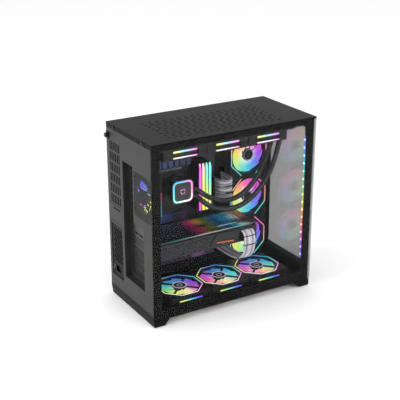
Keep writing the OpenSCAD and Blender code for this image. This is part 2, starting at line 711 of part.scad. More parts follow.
// Knurled screw that holds the steel side
module far_panel_screw() color("#121213") translate([rear_x - sheet - 0.1, screw_y, screw_z])
    rotate([0, 90, 0]) {
        translate([0, 0, -(screw_out - sheet - 0.1)]) difference() {
            cylinder(r = 6, h = screw_out - sheet - 0.1, $fn = 48);
            for (a = [0 : 20 : 340]) rotate(a) translate([6.2, 0, -1]) cylinder(r = 0.6, h = 20, $fn = 6);
        }
        translate([0, 0, -0.1]) cylinder(r = 2.1, h = sheet + 0.2, $fn = 24);
    }

module power_button() color("#3a3b3d") {
    translate([front_x - 8, panel_y, 438]) rotate([0, 90, 0]) cylinder(r = 7.7, h = 7.8, $fn = 48);
}

// Fine mesh in a thin frame, in a slot under the floor
module dust_filter() color("#1a1a1b") {
    z = foot_h + 0.5;
    plate_z(z, 2.4) difference() {
        patch([-176, -104], [184, body_far]);
        for (i = [0 : 2]) patch([-172 + i * 119.4, -100], [-172 + i * 119.4 + 113, 90]);
    }
    plate_z(z + 1, 0.5) for (i = [0 : 2]) difference() {
        patch([-172 + i * 119.4, -100], [-172 + i * 119.4 + 113, 90]);
        hex_grid([-172 + i * 119.4 + 1, -99], [-172 + i * 119.4 + 112, 89], 16, 7);
    }
}

module supply_rotor() color("#111112")
    translate([supply_fan[0], supply_y + supply[1] - 24, supply_fan[2]]) rotate([-90, 0, 0])
        fan_rotor(54, 17, 4, 17, 7);

module supply_switch() color("#141414") {
    y0 = supply_y + 53.6;
    plate_y(y0, 8.8) polygon([[supply_x - 1.5, supply_z + 15.5], [supply_x + 0.5, supply_z + 24],
        [supply_x - 0.2, supply_z + 32.5], [supply_x + 6, supply_z + 31], [supply_x + 8, supply_z + 24],
        [supply_x + 6, supply_z + 17]]);
}

module card_rotor(i) color("#17171a")
    translate([card_x + card_fans[i], card_fan_y, card_bottom + 16]) rotate([180, 0, 0])
        fan_rotor(card_fan_r, 14, 4, 10, 9);

module rotor_tint() color("#d7c9f2") children();

floor_pan();
rear_panel();
motherboard_tray();
front_frame();
top_frame();
front_glass();
front_column();
front_ports();
foot_rails();
foot_pads();
led_strip();
slot_covers();
motherboard();
rear_ports();
port_cover();
board_heatsinks();
board_plates();
board_sockets();
memory_modules();
memory_lights();
main_power_cable();
card_power_cable();
cable_combs();
pump_head();
pump_light();
coolant_tubes();
radiator();
roof_fan_frames();
side_fan_frames();
floor_fan_frames();
rear_fan_frame();
fan_lights();
card_shroud();
card_backplate();
card_heatsink();
card_bracket();
power_supply();
storage_drive();
top_panel();
top_panel_screws();
side_glass();
far_panel();
far_panel_screw();
power_button();
dust_filter();
supply_rotor();
supply_switch();
rotor_tint() at_roof(0) case_rotor();  // roof_rotor_1
rotor_tint() at_roof(1) case_rotor();  // roof_rotor_2
rotor_tint() at_roof(2) case_rotor();  // roof_rotor_3
rotor_tint() at_side(0) case_rotor();  // side_rotor_1
rotor_tint() at_side(1) case_rotor();  // side_rotor_2
rotor_tint() at_side(2) case_rotor();  // side_rotor_3
rotor_tint() at_floor(0) case_rotor();  // floor_rotor_1
rotor_tint() at_floor(1) case_rotor();  // floor_rotor_2
rotor_tint() at_floor(2) case_rotor();  // floor_rotor_3
rotor_tint() at_rear() fan_rotor(41, 16, 4, 19, 7);  // rear_rotor
card_rotor(0);  // card_rotor_1
card_rotor(1);  // card_rotor_2
card_rotor(2);  // card_rotor_3
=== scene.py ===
# %% [markdown]
# # A lit desktop computer tower
# The tower was designed as CAD parts, and this script dresses them: every sheet, casting and
# moulding gets a finish, and the fine work, such as blades, cables, lights and screws, is built
# here. The CAD parts are a fixed frame, so each new piece takes its place from their boxes.

# %% Load the frame
import math
import random

import bmesh
import bpy
from mathutils import Matrix, Vector


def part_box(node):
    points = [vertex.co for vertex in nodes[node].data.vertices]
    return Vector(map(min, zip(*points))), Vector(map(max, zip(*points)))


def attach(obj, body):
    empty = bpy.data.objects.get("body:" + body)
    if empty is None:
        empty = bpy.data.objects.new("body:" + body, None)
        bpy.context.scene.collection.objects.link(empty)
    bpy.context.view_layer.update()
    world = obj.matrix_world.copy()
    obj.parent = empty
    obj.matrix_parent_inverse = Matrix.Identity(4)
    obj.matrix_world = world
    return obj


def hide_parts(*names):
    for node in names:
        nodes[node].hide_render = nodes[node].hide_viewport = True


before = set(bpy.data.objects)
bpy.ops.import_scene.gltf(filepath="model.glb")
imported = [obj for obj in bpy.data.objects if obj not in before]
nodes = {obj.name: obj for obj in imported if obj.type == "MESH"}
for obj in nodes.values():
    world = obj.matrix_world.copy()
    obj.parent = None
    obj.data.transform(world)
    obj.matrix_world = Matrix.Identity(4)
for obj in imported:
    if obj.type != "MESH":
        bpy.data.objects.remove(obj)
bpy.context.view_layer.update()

MM = 0.001
scene = bpy.context.scene
print("parts in the frame:", len(nodes))

# %% [markdown]
# ## The camera
# A product view from the rear left and a little above shows the glass side, the rear and the roof
# at once. A long lens from two and a half metres keeps the upright edges nearly parallel.

# %% Camera
VIEW_AZIMUTH = math.radians(-31.0)
VIEW_ELEVATION = math.radians(21.14)
VIEW_DISTANCE = 2.497
AIM = Vector((22.3, 89.5, 222.8)) * MM

toward_camera = Vector((
    math.sin(VIEW_AZIMUTH) * math.cos(VIEW_ELEVATION),
    -math.cos(VIEW_AZIMUTH) * math.cos(VIEW_ELEVATION),
    math.sin(VIEW_ELEVATION),
))
lens = bpy.data.cameras.new("camera")
lens.lens = 83.3
lens.clip_start, lens.clip_end = 0.05, 60
camera = bpy.data.objects.new("camera", lens)
camera.location = AIM + toward_camera * VIEW_DISTANCE
camera.rotation_mode = "QUATERNION"
camera.rotation_quaternion = (-toward_camera).to_track_quat("-Z", "Y")
scene.collection.objects.link(camera)
scene.camera = camera
print("camera at", [round(v, 3) for v in camera.location])

# %% [markdown]
# ## Floor and light
# A pale floor under an even white sky is a studio's light tent. One wide lamp behind the rear
# panel lifts the grey of the rear over the near-black side, with the rear coat also painted a
# lighter grey, and a second one looks in through the glass.

# %% Floor and lamps
def nodes_of(material):
    """The material's node tree, its Principled shader and a short way to add nodes."""
    material.use_nodes = True
    tree = material.node_tree
    return tree, tree.nodes["Principled BSDF"]


def stage_floor():
    mesh = bpy.data.meshes.new("studio_floor")
    reach = 14.0
    mesh.from_pydata([(x, y, 0) for x, y in ((-reach, -reach), (reach, -reach), (reach, reach),
                                             (-reach, reach))], [], [(0, 1, 2, 3)])
    floor = bpy.data.objects.new("studio_floor", mesh)
    scene.collection.objects.link(floor)
    material = bpy.data.materials.new("studio_floor")
    shader = nodes_of(material)[1]
    shader.inputs["Base Color"].default_value = (0.94, 0.94, 0.94, 1)
    shader.inputs["Roughness"].default_value = 0.7
    mesh.materials.append(material)


def lamp(name, place, target, size, power, color=(1, 1, 1)):
    data = bpy.data.lights.new(name, "AREA")
    data.shape, data.size = "SQUARE", size
    data.energy, data.color = power, color
    light = bpy.data.objects.new(name, data)
    light.location = place
    light.rotation_mode = "QUATERNION"
    light.rotation_quaternion = (Vector(target) - Vector(place)).to_track_quat("-Z", "Y")
    scene.collection.objects.link(light)


def sky(strength):
    world = bpy.data.worlds.new("studio_sky")
    world.use_nodes = True
    background = world.node_tree.nodes["Background"]
    background.inputs["Color"].default_value = (1, 1, 1, 1)
    background.inputs["Strength"].default_value = strength
    scene.world = world


stage_floor()
sky(1.02)
lamp("rear_lamp", (-2.6, 0.2, 1.5), (-0.2, 0, 0.25), 1.6, 40)
lamp("side_lamp", (0.3, -2.4, 1.5), (0, 0, 0.2), 1.2, 22)
scene.view_settings.view_transform = "Standard"

# %% [markdown]
# ## Finishes
# Nearly everything on the tower is black, so the pieces are told apart by how they shine and by
# their grain. One builder makes a moulded, coated or brushed finish: a fine noise moves the
# colour and the roughness a little, and a second one raises the grain. It works in the object's
# own coordinates, which keeps the grain one size on every piece.

# %% Finish builder
def paint(code, alpha=1.0):
    """A linear colour from a hex code."""
    parts = [int(code[i:i + 2], 16) / 255 for i in (1, 3, 5)]
    return (*[c / 12.92 if c <= 0.04045 else ((c + 0.055) / 1.055) ** 2.4 for c in parts], alpha)


def add_node(tree, kind, **settings):
    node = tree.nodes.new(kind)
    for name, value in settings.items():
        setattr(node, name, value)
    return node


def noise(tree, scale, detail=2.0, stretch=(1, 1, 1)):
    """A noise texture's factor, in the object's own coordinates."""
    place = add_node(tree, "ShaderNodeTexCoord")
    turn = add_node(tree, "ShaderNodeMapping")
    turn.inputs["Scale"].default_value = stretch
    cloud = add_node(tree, "ShaderNodeTexNoise")
    cloud.inputs["Scale"].default_value = scale
    cloud.inputs["Detail"].default_value = detail
    tree.links.new(place.outputs["Object"], turn.inputs["Vector"])
    tree.links.new(turn.outputs["Vector"], cloud.inputs["Vector"])
    return cloud.outputs["Fac"]


def remap(tree, factor, from_low, from_high, to_low=0.0, to_high=1.0):
    """Maps one range of a factor to another, and holds it at both ends."""
    reach = add_node(tree, "ShaderNodeMapRange")
    for label, value in (("From Min", from_low), ("From Max", from_high),
                         ("To Min", to_low), ("To Max", to_high)):
        reach.inputs[label].default_value = value
    tree.links.new(factor, reach.inputs["Value"])
    return reach.outputs["Result"]


def spread(tree, cloud, low, high):
    """Maps the middle of a noise, where nearly all of it lies, to the range low to high."""
    return remap(tree, cloud, 0.3, 0.7, low, high)


def run_along(tree, axis, low, high):
    """A factor that runs from 0 to 1 along X, Y or Z, between two places in metres."""
    place = add_node(tree, "ShaderNodeTexCoord")
    split = add_node(tree, "ShaderNodeSeparateXYZ")
    tree.links.new(place.outputs["Object"], split.inputs["Vector"])
    return remap(tree, split.outputs[axis], low, high)


def finish(name, color, roughness, metallic=0.0, grain=900.0, depth=0.15, vary=0.12,
           rough_vary=0.06, stretch=(1, 1, 1), specular=0.5, coat=0.0):
    material = bpy.data.materials.new(name)
    tree, shader = nodes_of(material)
    base = paint(color) if isinstance(color, str) else color
    dark = [c * (1 - vary) for c in base[:3]] + [1]
    light = [c * (1 + vary) for c in base[:3]] + [1]
    mix = add_node(tree, "ShaderNodeMix", data_type="RGBA")
    mix.inputs[6].default_value, mix.inputs[7].default_value = dark, light
    tree.links.new(spread(tree, noise(tree, 22, 3), 0, 1), mix.inputs["Factor"])
    tree.links.new(mix.outputs[2], shader.inputs["Base Color"])
    fine = noise(tree, grain, 2, stretch)
    tree.links.new(spread(tree, fine, roughness - rough_vary, roughness + rough_vary),
                   shader.inputs["Roughness"])
    bump = add_node(tree, "ShaderNodeBump")
    bump.inputs["Strength"].default_value = depth
    bump.inputs["Distance"].default_value = 0.0004
    tree.links.new(fine, bump.inputs["Height"])
    tree.links.new(bump.outputs["Normal"], shader.inputs["Normal"])
    shader.inputs["Metallic"].default_value = metallic
    shader.inputs["Specular IOR Level"].default_value = specular
    shader.inputs["Coat Weight"].default_value = coat
    shader.inputs["Coat Roughness"].default_value = 0.08
    return material


coated_black = finish("black powder coat", "#0a0a0b", 0.45, grain=1500, depth=0.12, specular=0.1)
coated_roof = finish("roof powder coat", "#0d0d0c", 0.4, grain=1500, depth=0.1, specular=0.05)
# The rear panel has the same black coat painted a lighter grey: that lighter grey is painted light,
# on top of the real light of the rear lamp.
coated_rear_painted_light = finish("rear powder coat with painted light", "#2c2c2b", 0.42, grain=1500, depth=0.12, specular=0.2)
frame_black = finish("moulded fan frame", "#121214", 0.45, grain=700, specular=0.4)
satin_black = finish("satin black moulding", "#151517", 0.35, grain=600, depth=0.08)
gloss_black = finish("gloss black moulding", "#0b0b0d", 0.12, grain=300, depth=0.02,
                     rough_vary=0.03, coat=0.6)
pad_rubber = finish("pad rubber", "#101011", 0.75, grain=500, depth=0.3)
anodised = finish("dark anodised metal", "#3a3e4a", 0.32, metallic=0.85, grain=260, depth=0.08,
                  stretch=(1, 1, 9))
brushed = finish("brushed bracket steel", "#4c4d50", 0.34, metallic=1.0, grain=300, depth=0.1,
                 stretch=(1, 8, 1))
slot_black = finish("slot cover coat", "#141414", 0.36, grain=900, depth=0.12, specular=0.3)
bare_fins = finish("bare aluminium fins", "#9fa2a8", 0.35, metallic=1.0, grain=500)
screw_metal = finish("black oxide screw", "#2c2c2e", 0.38, metallic=0.7, grain=900)
solder_mask = finish("dark solder mask", "#15181c", 0.4, grain=420, depth=0.25, vary=0.25)
stamped = finish("stamped port metal", "#3d4044", 0.35, metallic=0.8, grain=600)
back_gloss = finish("gloss back plate", "#2a2d38", 0.12, grain=60, depth=0.0, rough_vary=0.02,
                    metallic=0.8, coat=0.5)
filter_net = finish("filter net", "#1b1b1c", 0.6, grain=1200, depth=0.4)
print("finishes:", len(bpy.data.materials))

# %% Give the plain parts their finish
def dress(finish_material, *names):
    for name in names:
        slots = nodes[name].data.materials
        slots.clear()
        slots.append(finish_material)


dress(coated_black, "floor_pan", "motherboard_tray", "front_frame", "top_frame", "front_column",
      "foot_rails", "far_panel", "power_supply")
dress(coated_roof, "top_panel")
dress(coated_rear_painted_light, "rear_panel")
dress(slot_black, "slot_covers")
dress(frame_black, "roof_fan_frames", "side_fan_frames", "floor_fan_frames", "rear_fan_frame")
dress(satin_black, "board_sockets", "cable_combs", "card_shroud", "power_button",
      "supply_switch", "supply_rotor", "card_rotor_1", "card_rotor_2", "card_rotor_3")
dress(gloss_black, "pump_head")
dress(pad_rubber, "foot_pads", "coolant_tubes")
dress(anodised, "port_cover", "board_heatsinks", "board_plates", "memory_modules",
      "storage_drive")
dress(brushed, "card_bracket")
dress(bare_fins, "card_heatsink")
dress(frame_black, "radiator")
dress(screw_metal, "top_panel_screws", "far_panel_screw")
dress(solder_mask, "motherboard")
dress(stamped, "front_ports", "rear_ports")
dress(back_gloss, "card_backplate")
dress(filter_net, "dust_filter")

# %% [markdown]
# ## Shapes in mesh code
# A few builders make the one-off shapes. Each adds closed parts to a bmesh and gives them a
# material number; `piece` turns the bmesh into an object that rides on one of the CAD bodies.

# %% Shape builders
def add_block(bm, low, high, material=0, bevel=0.0):
    low, high = Vector(low), Vector(high)
    size = high - low
    made = bmesh.ops.create_cube(bm, size=1.0)
    verts = made["verts"]
    bmesh.ops.scale(bm, vec=size, verts=verts)
    bmesh.ops.translate(bm, vec=(low + high) / 2, verts=verts)
    faces = {f for v in verts for f in v.link_faces}
    for face in faces:
        face.material_index = material
    if bevel > 0:
        edges = {e for v in verts for e in v.link_edges}
        made = bmesh.ops.bevel(bm, geom=list(edges), offset=bevel, segments=2, affect="EDGES")
        for face in made["faces"]:
            face.material_index = material


def add_lathe(bm, profile, place, axis, material=0, turns=32):
    """A closed solid of revolution: profile is (radius, height) pairs from the axis out and back."""
    turn = Vector((0, 0, 1)).rotation_difference(Vector(axis)).to_matrix()
    rings = []
    for radius, height in profile:
        if radius < 1e-9:
            rings.append([bm.verts.new(turn @ Vector((0, 0, height)) + Vector(place))])
            continue
        rings.append([bm.verts.new(turn @ Vector((radius * math.cos(a), radius * math.sin(a), height))
                                   + Vector(place))
                      for a in (2 * math.pi * k / turns for k in range(turns))])
    for inner, outer in zip(rings, rings[1:]):
        for k in range(turns):
            after = (k + 1) % turns
            corners = [inner[k % len(inner)], outer[k % len(outer)],
                       outer[after % len(outer)], inner[after % len(inner)]]
            unique = list(dict.fromkeys(corners))
            if len(unique) > 2:
                bm.faces.new(unique).material_index = material


def add_prism(bm, outline, height, place=Matrix.Identity(4), material=0):
    """A flat outline raised along its own Z, then placed by a matrix."""
    low = [bm.verts.new(place @ Vector((x, y, 0))) for x, y in outline]
    high = [bm.verts.new(place @ Vector((x, y, height))) for x, y in outline]
    faces = [bm.faces.new(low[::-1]), bm.faces.new(high)]
    for k in range(len(low)):
        after = (k + 1) % len(low)
        faces.append(bm.faces.new([low[k], low[after], high[after], high[k]]))
    for face in faces:
        face.material_index = material


def mesh_from(bm, name, smooth=False):
    bmesh.ops.recalc_face_normals(bm, faces=bm.faces)
    mesh = bpy.data.meshes.new(name)
    bm.to_mesh(mesh)
    bm.free()
    if smooth:
        mesh.shade_smooth()
    return mesh


def piece(name, mesh, body, slot, *replaced, materials=()):
    """An object made of a finished mesh, which rides on a body and may stand for CAD parts."""
    for material in materials:
        mesh.materials.append(material)
    thing = bpy.data.objects.new(name, mesh)
    scene.collection.objects.link(thing)
    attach(thing, body)
    if replaced:
        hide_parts(*replaced)
    print(f"{name}: {len(mesh.polygons)} faces")
    return thing


def smooth_by_angle(mesh, degrees=35):
    """Rounds the shading over gentle edges and keeps the sharp ones crisp."""
    bm = bmesh.new()
    bm.from_mesh(mesh)
    limit = math.radians(degrees)
    for edge in bm.edges:
        edge.smooth = len(edge.link_faces) == 2 and edge.calc_face_angle(0) < limit
    for face in bm.faces:
        face.smooth = True
    bm.to_mesh(mesh)
    bm.free()
    return mesh


def rounded_rectangle(width, height, radius, steps=6):
    corners = []
    for quarter, (sx, sy) in enumerate(((1, 1), (-1, 1), (-1, -1), (1, -1))):
        for k in range(steps + 1):
            angle = math.pi / 2 * (quarter + k / steps)
            corners.append((sx * (width / 2 - radius) + radius * math.cos(angle),
                            sy * (height / 2 - radius) + radius * math.sin(angle)))
    return corners


# %% [markdown]
# ## Geometry Nodes for what repeats
# Blades round a hub, screws at their corners, lamps along a strip and wires along a path are all
# one shape repeated. Each tree below is built here, fed with one shape, and turned back into a
# plain mesh, so nothing live is left on the finished piece.

# %% Node tree helpers
def new_tree(name, *inputs):
    tree = bpy.data.node_groups.new(name, "GeometryNodeTree")
    tree.interface.new_socket("Geometry", in_out="OUTPUT", socket_type="NodeSocketGeometry")
    tree.interface.new_socket("Shape", in_out="INPUT", socket_type="NodeSocketGeometry")
    for label, kind in inputs:
        tree.interface.new_socket(label, in_out="INPUT", socket_type="NodeSocket" + kind)
    tree.interface.new_socket("Material", in_out="INPUT", socket_type="NodeSocketMaterial")
    return tree, add_node(tree, "NodeGroupInput"), add_node(tree, "NodeGroupOutput")


def end_tree(tree, start, end, instances):
    """Every tree ends the same way: real geometry with its material set."""
    real = add_node(tree, "GeometryNodeRealizeInstances")
    painted = add_node(tree, "GeometryNodeSetMaterial")
    tree.links.new(instances, real.inputs["Geometry"])
    tree.links.new(real.outputs["Geometry"], painted.inputs["Geometry"])
    tree.links.new(start.outputs["Material"], painted.inputs["Material"])
    tree.links.new(painted.outputs["Geometry"], end.inputs["Geometry"])
    return tree


def grow(tree, data, material, **values):
    """Runs a tree on a mesh or curve and returns the result as a plain mesh."""
    carrier = bpy.data.objects.new("carrier", data)
    scene.collection.objects.link(carrier)
    modifier = carrier.modifiers.new("grow", "NODES")
    modifier.node_group = tree
    values["Material"] = material
    for item in tree.interface.items_tree:
        if item.in_out == "INPUT" and item.name.replace(" ", "_") in values:
            modifier[item.identifier] = values[item.name.replace(" ", "_")]
    bpy.context.view_layer.update()
    graph = bpy.context.evaluated_depsgraph_get()
    mesh = bpy.data.meshes.new_from_object(carrier.evaluated_get(graph), depsgraph=graph)
    carrier.modifiers.clear()
    bpy.data.objects.remove(carrier)
    return mesh


def ring_tree():
    """The shape repeated in even steps round Z."""
    tree, start, end = new_tree("round an axis", ("Count", "Int"))
    points = add_node(tree, "GeometryNodePoints")
    index = add_node(tree, "GeometryNodeInputIndex")
    step = add_node(tree, "ShaderNodeMath", operation="DIVIDE")
    step.inputs[0].default_value = 2 * math.pi
    angle = add_node(tree, "ShaderNodeMath", operation="MULTIPLY")
    turn = add_node(tree, "ShaderNodeCombineXYZ")
    copies = add_node(tree, "GeometryNodeInstanceOnPoints")
    link = tree.links.new
    link(start.outputs["Count"], points.inputs["Count"])
    link(start.outputs["Count"], step.inputs[1])
    link(index.outputs["Index"], angle.inputs[0])
    link(step.outputs["Value"], angle.inputs[1])
    link(angle.outputs["Value"], turn.inputs["Z"])
    link(points.outputs["Points"], copies.inputs["Points"])
    link(start.outputs["Shape"], copies.inputs["Instance"])
    link(turn.outputs["Vector"], copies.inputs["Rotation"])
    return end_tree(tree, start, end, copies.outputs["Instances"])


def row_tree():
    """The shape repeated in a straight row."""
    tree, start, end = new_tree("in a row", ("Count", "Int"), ("Step", "Vector"))
    line = add_node(tree, "GeometryNodeMeshLine", mode="OFFSET")
    copies = add_node(tree, "GeometryNodeInstanceOnPoints")
    link = tree.links.new
    link(start.outputs["Count"], line.inputs["Count"])
    link(start.outputs["Step"], line.inputs["Offset"])
    link(line.outputs["Mesh"], copies.inputs["Points"])
    link(start.outputs["Shape"], copies.inputs["Instance"])
    return end_tree(tree, start, end, copies.outputs["Instances"])


def spots_tree():
    """The shape of an object stood on each point of the carrier, by the point's own turn."""
    tree, start, end = new_tree("on its spots", ("Stamp", "Object"))
    stamp = add_node(tree, "GeometryNodeObjectInfo", transform_space="ORIGINAL")
    turn = add_node(tree, "GeometryNodeInputNamedAttribute", data_type="FLOAT_VECTOR")
    turn.inputs["Name"].default_value = "turn"
    size = add_node(tree, "GeometryNodeInputNamedAttribute", data_type="FLOAT_VECTOR")
    size.inputs["Name"].default_value = "size"
    copies = add_node(tree, "GeometryNodeInstanceOnPoints")
    link = tree.links.new
    link(start.outputs["Shape"], copies.inputs["Points"])
    link(start.outputs["Stamp"], stamp.inputs["Object"])
    link(stamp.outputs["Geometry"], copies.inputs["Instance"])
    link(turn.outputs["Attribute"], copies.inputs["Rotation"])
    link(size.outputs["Attribute"], copies.inputs["Scale"])
    return end_tree(tree, start, end, copies.outputs["Instances"])


def sleeve_tree():
    """A round section carried along a curve."""
    tree, start, end = new_tree("along a path", ("Radius", "Float"), ("Sides", "Int"))
    section = add_node(tree, "GeometryNodeCurvePrimitiveCircle")
    skin = add_node(tree, "GeometryNodeCurveToMesh")
    skin.inputs["Fill Caps"].default_value = True
    link = tree.links.new
    link(start.outputs["Radius"], section.inputs["Radius"])
    link(start.outputs["Sides"], section.inputs["Resolution"])
    link(start.outputs["Shape"], skin.inputs["Curve"])
    link(section.outputs["Curve"], skin.inputs["Profile Curve"])
    return end_tree(tree, start, end, skin.outputs["Mesh"])


RING, ROW, SPOTS, SLEEVE = ring_tree(), row_tree(), spots_tree(), sleeve_tree()


def stamped_mesh(stamp_mesh, spots, material):
    """A stamp on each spot; a spot is a place, a turn in radians and a size."""
    carrier = bpy.data.meshes.new("spots")
    carrier.from_pydata([s[0] for s in spots], [], [])
    for label, column in (("turn", 1), ("size", 2)):
        values = carrier.attributes.new(label, "FLOAT_VECTOR", "POINT")
        values.data.foreach_set("vector", [c for s in spots for c in s[column]])
    stamp = bpy.data.objects.new("stamp", stamp_mesh)
    scene.collection.objects.link(stamp)
    mesh = grow(SPOTS, carrier, material, Stamp=stamp)
    bpy.data.objects.remove(stamp)
    return mesh


def path_curve(points):
    """A curve of one poly spline through the points, in metres."""
    curve = bpy.data.curves.new("path", "CURVE")
    curve.dimensions = "3D"
    spline = curve.splines.new("POLY")
    spline.points.add(len(points) - 1)
    for target, p in zip(spline.points, points):
        target.co = (*p, 1)
    return curve


def eased(points, steps=6):
    """A smooth path through given points, with extra points between them."""
    p = [Vector(q) for q in points]
    path = []
    for i in range(len(p) - 1):
        a, b, c, d = p[max(i - 1, 0)], p[i], p[i + 1], p[min(i + 2, len(p) - 1)]
        for k in range(steps):
            t = k / steps
            path.append(0.5 * (2 * b + (c - a) * t + (2 * a - 5 * b + 4 * c - d) * t * t
                               + (3 * b - a - 3 * c + d) * t ** 3))
    return path + [p[-1]]


def joined(name, *meshes):
    """One mesh out of several, with their materials and attributes kept."""
    things = []
    for mesh in meshes:
        thing = bpy.data.objects.new("part", mesh)
        scene.collection.objects.link(thing)
        things.append(thing)
    with bpy.context.temp_override(active_object=things[0], selected_editable_objects=things):
        bpy.ops.object.join()
    mesh = things[0].data
    mesh.name = name
    bpy.data.objects.remove(things[0])
    return mesh


print("node trees:", [t.name for t in bpy.data.node_groups])

# %% [markdown]
# ## Lit plastics
# Each lamp on the tower is a frosted light guide whose colour runs along it or round it. The
# colour is a ramp over one coordinate of the piece: a straight position for bars and strips, an
# angle for rings. The strength stays a plain number on the shader.

# %% Light finishes
def fill_ramp(ramp, stops):
    elements = ramp.color_ramp.elements
    while len(elements) > 1:
        elements.remove(elements[-1])
    elements[0].position, elements[0].color = stops[0][0], paint(stops[0][1])
    for place, code in stops[1:]:
        elements.new(place).color = paint(code)


def lit(name, stops, strength):
    """A glowing finish and its ramp, which still needs a factor."""
    material = bpy.data.materials.new(name)
    tree, shader = nodes_of(material)
    shader.inputs["Base Color"].default_value = (0.02, 0.02, 0.02, 1)
    shader.inputs["Roughness"].default_value = 0.35
    shader.inputs["Emission Strength"].default_value = strength
    ramp = add_node(tree, "ShaderNodeValToRGB")
    fill_ramp(ramp, stops)
    tree.links.new(ramp.outputs["Color"], shader.inputs["Emission Color"])
    return material, tree, shader, ramp


def lit_along(name, axis, low, high, stops, strength):
    """Colour that runs along X, Y or Z from low to high, in metres."""
    material, tree, shader, ramp = lit(name, stops, strength)
    tree.links.new(run_along(tree, axis, low, high), ramp.inputs["Fac"])
    return material


def angle_of(tree, u, v):
    """The angle of two coordinates, from 0 to 1 for one turn."""
    arc = add_node(tree, "ShaderNodeMath", operation="ARCTAN2")
    tree.links.new(v, arc.inputs[0])
    tree.links.new(u, arc.inputs[1])
    return remap(tree, arc.outputs["Value"], -math.pi, math.pi)


def lit_round(name, centre, axes, stops, strength):
    """Colour that runs round a centre, in the plane of two of the object's axes."""
    material, tree, shader, ramp = lit(name, stops, strength)
    place = add_node(tree, "ShaderNodeTexCoord")
    shift = add_node(tree, "ShaderNodeMapping")
    shift.inputs["Location"].default_value = -Vector(centre)
    split = add_node(tree, "ShaderNodeSeparateXYZ")
    tree.links.new(place.outputs["Object"], shift.inputs["Vector"])
    tree.links.new(shift.outputs["Vector"], split.inputs["Vector"])
    tree.links.new(angle_of(tree, split.outputs[axes[0]], split.outputs[axes[1]]),
                   ramp.inputs["Fac"])
    return material


PALE_REACH = 16 * MM        # how far the paler colour reaches out from the hub
EDGE_SHADE = 0.72           # how bright a blade is at its edges


def lit_disc(name, stops, strength, hub, pale):
    """Frosted blades: colour round the disc map, paler towards the hub, dimmer at blade edges."""
    material, tree, shader, ramp = lit(name, stops, strength)
    link = tree.links.new
    disc = add_node(tree, "ShaderNodeUVMap", uv_map="disc")
    split = add_node(tree, "ShaderNodeSeparateXYZ")
    link(disc.outputs["UV"], split.inputs["Vector"])
    link(angle_of(tree, split.outputs["X"], split.outputs["Y"]), ramp.inputs["Fac"])
    radius = add_node(tree, "ShaderNodeVectorMath", operation="LENGTH")
    link(disc.outputs["UV"], radius.inputs[0])
    mix = add_node(tree, "ShaderNodeMix", data_type="RGBA")
    mix.inputs[7].default_value = (1, 1, 1, 1)
    link(remap(tree, radius.outputs["Value"], hub, hub + PALE_REACH, pale, 0.0),
         mix.inputs["Factor"])
    link(ramp.outputs["Color"], mix.inputs[6])
    chord = add_node(tree, "ShaderNodeAttribute", attribute_name="chord")
    dim = add_node(tree, "ShaderNodeVectorMath", operation="SCALE")
    link(mix.outputs[2], dim.inputs[0])
    link(remap(tree, chord.outputs["Fac"], 0.0, 1.0, EDGE_SHADE, 1.0), dim.inputs["Scale"])
    link(dim.outputs["Vector"], shader.inputs["Emission Color"])
    return material


# Colour round a disc, seen with its local X to the right and Y up: left, below, right, above and
# left again. The floor fans lie face down, so their "below" is the far side of the tower.
SIDE_RAINBOW = [(0.0, "#f3e35a"), (0.12, "#b9ef9a"), (0.25, "#4fd6df"), (0.37, "#5f8df0"),
                (0.5, "#a05ae8"), (0.62, "#e04fd6"), (0.75, "#f55fb4"), (0.88, "#f7b06a"),
                (1.0, "#f3e35a")]
FLOOR_RAINBOWS = (
    [(0.0, "#7fd86a"), (0.12, "#3fb0b8"), (0.25, "#3f83c8"), (0.38, "#5a5fd0"), (0.5, "#9a4fcf"),
     (0.6, "#d070c8"), (0.7, "#fff2a0"), (0.86, "#e6ee4a"), (1.0, "#7fd86a")],
    [(0.0, "#e0409a"), (0.12, "#b04fc8"), (0.25, "#3f74c0"), (0.38, "#3fa2cf"), (0.5, "#4fd0d8"),
     (0.62, "#a8e0c0"), (0.72, "#fff0a8"), (0.86, "#ff9a80"), (1.0, "#e0409a")],
    [(0.0, "#e85fb0"), (0.12, "#b060d0"), (0.25, "#4a78c8"), (0.38, "#3f9ac0"), (0.5, "#4fc8d8"),
     (0.62, "#c8e8a0"), (0.72, "#ffc080"), (0.86, "#ff80b8"), (1.0, "#e85fb0")])
REAR_RAINBOW = [(0.0, "#4b6cf0"), (0.2, "#6f8a3a"), (0.38, "#e6ee4a"), (0.52, "#d8e85a"),
                (0.62, "#c64fe0"), (0.75, "#a35cf5"), (0.88, "#5a6cf2"), (1.0, "#4b6cf0")]
CASE_HUB = 16.8 * MM
side_glow = lit_disc("side fan blades", SIDE_RAINBOW, 1.15, CASE_HUB, 0.55)
floor_glows = [lit_disc(f"floor fan blades {k + 1}", stops, 1.05, CASE_HUB, 0.35)
               for k, stops in enumerate(FLOOR_RAINBOWS)]
rear_glow = lit_disc("rear fan blades", REAR_RAINBOW, 3.2, 15 * MM, 0.2)
hub_ring = finish("pale hub ring", "#c9c4d2", 0.4, grain=400)

# %% [markdown]
# ## Fan rotors
# A rotor is a dark hub with a pale ring and nine broad, swept blades of frosted plastic. One
# blade is a curved grid with a thickness; the ring tree repeats it round the hub. The blades' map
# gives every point its place on the disc, so a finish that runs round the disc colours all the
# blades of a fan at once. The floor fans lie flatter, so that they close the view between struts.

# %% Rotor builder
CASE_BLADES, REAR_BLADES = 9, 7
STEEP_BLADES = ((0.24, 0.5), 1.16)      # where a blade starts and how much it climbs, its overlap
FLAT_BLADES = ((0.02, 0.3), 1.3)


